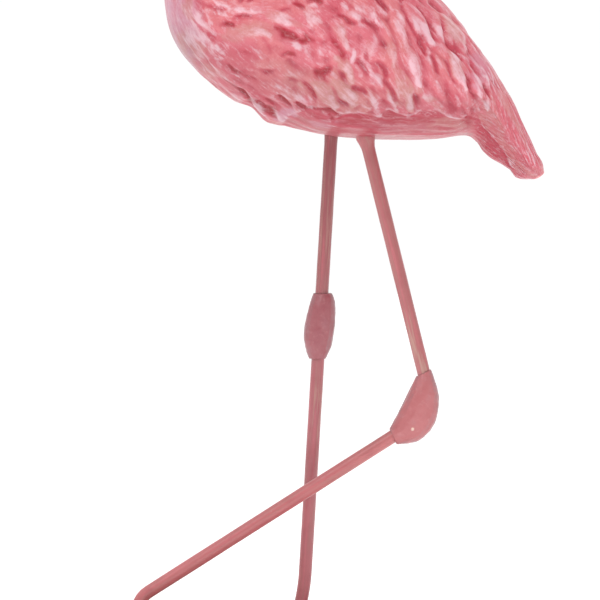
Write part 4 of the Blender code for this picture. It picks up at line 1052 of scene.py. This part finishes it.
def standing_path():
    """Side-view corners of the standing rod, from inside the belly into the base."""
    tan = math.tan(STANDING_LEAN)
    bend_z = BASE_TOP + ANKLE_BEND_HEIGHT
    last = (HIP[0] - (HIP[1] - bend_z - ANKLE_BEND_REACH) * tan, bend_z + ANKLE_BEND_REACH)
    soft = []
    for share in (-1.0, -0.5, 0.0, 0.5, 1.0):
        lean = STANDING_LEAN + (ANKLE_LEAN - STANDING_LEAN) * (share + 1) / 2
        last = down_to(last, bend_z - share * ANKLE_BEND_REACH, -1, math.pi / 2 - lean)
        soft.append(last)
    end = down_to(last, BASE_TOP - BASE_SOCKET_DEPTH, -1, math.pi / 2 - ANKLE_LEAN)
    return [(HIP[0] + BELLY_SOCKET_DEPTH * tan, HIP[1] + BELLY_SOCKET_DEPTH), *soft, end]


def arc_between(before, corner, after, radius, steps):
    before, corner, after = Vector(before), Vector(corner), Vector(after)
    back, ahead = (before - corner).normalized(), (after - corner).normalized()
    half = back.angle(ahead) / 2
    reach = radius / math.tan(half)
    centre = corner + (back + ahead).normalized() * radius / math.sin(half)
    start, end = (corner + way * reach - centre for way in (back, ahead))
    sweep = start.angle(end)
    turns = (sweep * k / steps for k in range(steps + 1))
    return [centre + (start * math.sin(sweep - turn) + end * math.sin(turn)) / math.sin(sweep)
            for turn in turns]


def raised_path():
    """Side-view corners of the raised rod: belly, knee bend, shank and the curl at the foot."""
    thigh_slope = math.pi / 2 - THIGH_LEAN
    hip = (HIP[0] + HIP_SPACING, HIP[1])
    knee = down_to(hip, BASE_TOP + RAISED_KNEE_HEIGHT, 1, thigh_slope)
    ankle = down_to(knee, BASE_TOP + RAISED_ANKLE_HEIGHT, -1, SHANK_SLOPE)
    top = down_to(hip, hip[1] + BELLY_SOCKET_DEPTH, 1, thigh_slope)
    points = [top] + arc_between(hip, knee, ankle, KNEE_BEND_RADIUS, 12)
    for k in range(9):
        slope = SHANK_SLOPE + (TOE_CURL_SLOPE - SHANK_SLOPE) * k / 8
        points.append((ankle[0] - TOE_CURL_RADIUS * (math.sin(slope) - math.sin(SHANK_SLOPE)),
                       ankle[1] - TOE_CURL_RADIUS * (math.cos(SHANK_SLOPE) - math.cos(slope))))
    return points + [down_to(points[-1], BASE_TOP + RAISED_ROD_STOP, -1, TOE_CURL_SLOPE)]


def make_rod(name, path, y, belly_z, collar, shaded_tints, wear, seed):
    """Tube along a side-view path, with the flared collar and slightly uneven paint, darker up
    under the body as painted shade.
    """
    rng = np.random.default_rng(seed)
    corners = np.array([tuple(p) for p in path])
    run = run_length(corners)
    travelled = np.linspace(0, run[-1], int(run[-1] / ROD_STEP) + 1)
    places = look_up(travelled, run, corners)
    x, z = places[:, 0:1], places[:, 1:2]
    tangent = unit(np.gradient(places, axis=0))
    below = (belly_z - z) / COLLAR_LENGTH
    flare = np.where(below >= 0, np.clip(1 - below, 0, 1) ** 2.4, np.clip(2 + below, 0, 1))
    wobble = np.interp(travelled, np.linspace(0, run[-1], WOBBLE_POINTS),
                       rng.uniform(-1, 1, WOBBLE_POINTS))[:, None]
    radius = ROD_RADIUS + collar * flare + ROD_WOBBLE * wobble
    angle = 2 * math.pi * np.arange(ROD_SIDES) / ROD_SIDES
    out, across = radius * np.cos(angle), radius * np.sin(angle)
    rings = np.dstack([x - tangent[:, 1:] * out, y + across, z + tangent[:, :1] * out])
    bm = bmesh.new()
    loops = add_tube(bm, rings)
    bm.faces.new(loops[0])
    bm.faces.new(loops[-1])
    mesh = close_mesh(bm, name)
    heights, tones = zip(*shaded_tints)
    # Colour by height, darker up under the body: painted shade.
    colours = look_up(places[:, 1], heights, to_linear(tones))
    along = np.dstack([out, across, np.broadcast_to(travelled[:, None], out.shape)])
    rubbed = np.interp(places[:, 1], *np.transpose(wear))
    set_field(mesh, "paint", "FLOAT_COLOR", np.repeat(colours, ROD_SIDES, axis=0))
    set_field(mesh, "along", "FLOAT_VECTOR", along)
    set_field(mesh, "wear", "FLOAT", np.repeat(rubbed, ROD_SIDES))
    return new_object(name, mesh)


def refined_copy(node, name, voxel, smooth_times):
    """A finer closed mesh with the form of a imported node."""
    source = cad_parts[node]
    mesh = source.data.copy()
    mesh.name = name
    mesh.transform(source.matrix_world)
    mesh.materials.clear()
    obj = new_object(name, mesh)
    remesh = obj.modifiers.new("Fine", "REMESH")
    remesh.mode = "VOXEL"
    remesh.voxel_size = voxel
    relax = obj.modifiers.new("Relax", "SMOOTH")
    relax.factor = 0.5
    relax.iterations = smooth_times
    bpy.context.view_layer.update()
    fine = bpy.data.meshes.new_from_object(obj.evaluated_get(bpy.context.evaluated_depsgraph_get()))
    obj.modifiers.clear()
    obj.data = fine
    fine.shade_smooth()
    return obj


def push(obj, amount):
    """Move each vertex of a piece along its normal by what a function of its place says."""
    mesh = obj.data
    places, normals = vertex_field(mesh, "co"), vertex_field(mesh, "normal")
    mesh.vertices.foreach_set("co", (places + normals * amount(places)[:, None]).ravel())
    mesh.update()
    return obj


def waves(places, *layers):
    """Smooth pseudo-random field of a place, in layers of a height, a length and a seed."""
    total = np.zeros(len(places))
    for high, long, seed in layers:
        rng = np.random.default_rng(seed)
        for _ in range(14):
            direction = unit(rng.standard_normal(3))
            pitch = long * rng.uniform(0.6, 1.7)
            total += high / 4 * np.sin(places @ direction * 2 * math.pi / pitch
                                       + rng.uniform(0, 6.3))
    return total


def make_knee(node, chips):
    knee = push(refined_copy(node, node + "_cast", KNEE_VOXEL, 4),
                lambda p: waves(p, (0.00012, 0.007, 3), (0.00003, 0.0018, 4)))
    x, y, z = vertex_field(knee.data, "co").T
    facing = np.abs(vertex_field(knee.data, "normal")[:, 1])
    shown = np.zeros(len(x))
    for chip_x, chip_z, radius in chips:
        gap = np.hypot(x - chip_x, z - chip_z) / radius
        shown = np.maximum(shown, ramp(gap, 1.2, -0.5) * (y < RAISED_Y - CHIP_SIDE))
    # Greying where the knee turns away from the front: painted shade, with some wear.
    set_field(knee.data, "rim_shade_and_wear", "FLOAT", ramp(facing, 0.90, -0.55))
    set_field(knee.data, "chip", "FLOAT", shown)
    return knee


def make_foot(node):
    return push(refined_copy(node, node + "_cast", FOOT_VOXEL, 5),
                lambda p: waves(p, (0.00010, 0.005, 5), (0.00004, 0.0012, 6))
                * (p[:, 2] > BASE_TOP + SOLE_HEIGHT))


def make_base():
    """Ground of the base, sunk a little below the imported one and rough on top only."""
    layers = (0.00030, 0.022, 7), (0.00016, 0.006, 8), (0.00008, 0.0025, 9)
    return push(refined_copy("base", "ground_base", BASE_VOXEL, 3),
                lambda p: (waves(p, *layers) - GROUND_SINK) * ramp(p[:, 2], 0.004, 0.003))


def make_eye(side):
    """A small glossy eye set into the side of the head, its pupil facing out."""
    bm = bmesh.new()
    bmesh.ops.create_uvsphere(bm, u_segments=32, v_segments=20, radius=EYE_RADIUS)
    mesh = close_mesh(bm, "eye")
    out = vertex_field(mesh, "co")[:, 2] / EYE_RADIUS
    tint = blend(to_linear(IRIS_YELLOW), BILL_BLACK, ramp(out, 0.86, 0.05))
    tint = blend(tint, EYE_RIM, ramp(out, 0.62, -0.08))
    set_field(mesh, "paint", "FLOAT_COLOR", tint)
    facing = Vector((0, 0, 1)).rotation_difference(Vector((-0.15, side, 0.05)))
    place = Vector((HIP[0] + EYE_PLACE[0] * UNIT, side * (EYE_SIDE * UNIT - 0.4 * EYE_RADIUS),
                    HIP[1] + EYE_PLACE[1] * UNIT))
    mesh.transform(Matrix.Translation(place) @ facing.to_matrix().to_4x4())
    return new_object("eye_right" if side < 0 else "eye_left", mesh)


# Stage, light and camera

PIXEL = 0.0005
VIEW_CENTRE = (0.025, -0.010, 0.174)
CAMERA_DISTANCE = 2.4
CAMERA_ELEVATION = math.radians(1.2)
SENSOR = 36.0
FRAME_PIXELS = 600
LIGHT_AIM = (0.02, 0, 0.27)
WHITE = (1, 1, 1, 1)


def look_along(obj, direction):
    obj.rotation_euler = direction.to_track_quat("-Z", "Y").to_euler()


def make_camera():
    data = bpy.data.cameras.new("camera")
    data.sensor_width = SENSOR
    data.lens = SENSOR * CAMERA_DISTANCE / (PIXEL * FRAME_PIXELS)
    data.clip_end = 50
    camera = new_object("camera", data)
    back = Vector((0, -math.cos(CAMERA_ELEVATION), math.sin(CAMERA_ELEVATION)))
    camera.location = Vector(VIEW_CENTRE) + back * CAMERA_DISTANCE
    look_along(camera, -back)
    bpy.context.scene.camera = camera


def add_area(name, place, size, power):
    light = bpy.data.lights.new(name, "AREA")
    light.shape = "SQUARE"
    light.size = size
    light.energy = power
    obj = new_object(name, light)
    obj.location = place
    look_along(obj, Vector(LIGHT_AIM) - Vector(place))


def studio_world():
    """White room that is bright behind the object and softer in front of it."""
    world = bpy.data.worlds.new("studio")
    world.use_nodes = True
    tree = Nodes(world.node_tree)
    split = tree.node("SeparateXYZ", Vector=tree.node("TexCoord").outputs["Generated"])
    light = tree.span(split.outputs["Y"], -0.25, 0.75, 0.46, 1.02)
    light.node.interpolation_type = "SMOOTHSTEP"
    tree.fill(tree.nodes["Background"], Color=WHITE, Strength=light)
    return world


def make_stage():
    bpy.ops.mesh.primitive_circle_add(vertices=64, radius=9.0, fill_type="NGON")
    floor = bpy.context.object
    floor.name = "floor"
    p = Paint("pale_floor", 0.9)
    p.fill(p.shader, Base_Color=(0.93, 0.93, 0.93, 1.0), Emission_Color=WHITE,
           Emission_Strength=0.5)
    floor.data.materials.append(p.material)
    add_area("key_light", (-0.7, -1.2, 1.7), 1.0, 10)
    add_area("fill_light", (1.4, -1.2, 0.7), 1.2, 1.5)
    add_area("top_light", (0.0, -0.1, 1.8), 0.9, 6)
    scene = bpy.context.scene
    scene.world = studio_world()
    scene.view_settings.view_transform = "Standard"
    scene.view_settings.look = "None"


def dress(piece, material, node=None):
    piece.data.materials.clear()
    piece.data.materials.append(material)
    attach(piece, "root")
    if node:
        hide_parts(node)


def main():
    make_camera()
    make_stage()
    dress(make_casting(), casting_paint(), "body")
    eye = eye_paint()
    for side in (-1, 1):
        dress(make_eye(side), eye)
    rose = rod_paint()
    standing = make_rod("standing_rod", standing_path(), STANDING_Y, HIP[1] + STANDING_BELLY_RISE,
                        STANDING_COLLAR_FLARE, STANDING_SHADED_TINTS, STANDING_WEAR, 21)
    raised = make_rod("raised_rod", raised_path(), RAISED_Y, HIP[1] + RAISED_BELLY_RISE,
                      RAISED_COLLAR_FLARE, RAISED_SHADED_TINTS, RAISED_WEAR, 22)
    dress(standing, rose, "standing_leg")
    dress(raised, rose, "raised_leg")
    lump = lump_paint("satin_rose_resin", *KNEE_ROSE)
    # The standing knee takes a darker copy of the knee paint: painted shade.
    shaded_lump = lump_paint("shaded_rose_resin", *SHADED_KNEE_ROSE)
    dress(make_knee("standing_knee", []), shaded_lump, "standing_knee")
    dress(make_knee("raised_knee", KNEE_CHIPS), lump, "raised_knee")
    for node in ("standing_foot", "raised_foot"):
        dress(make_foot(node), lump, node)
    dress(make_base(), base_paint(), "base")


main()
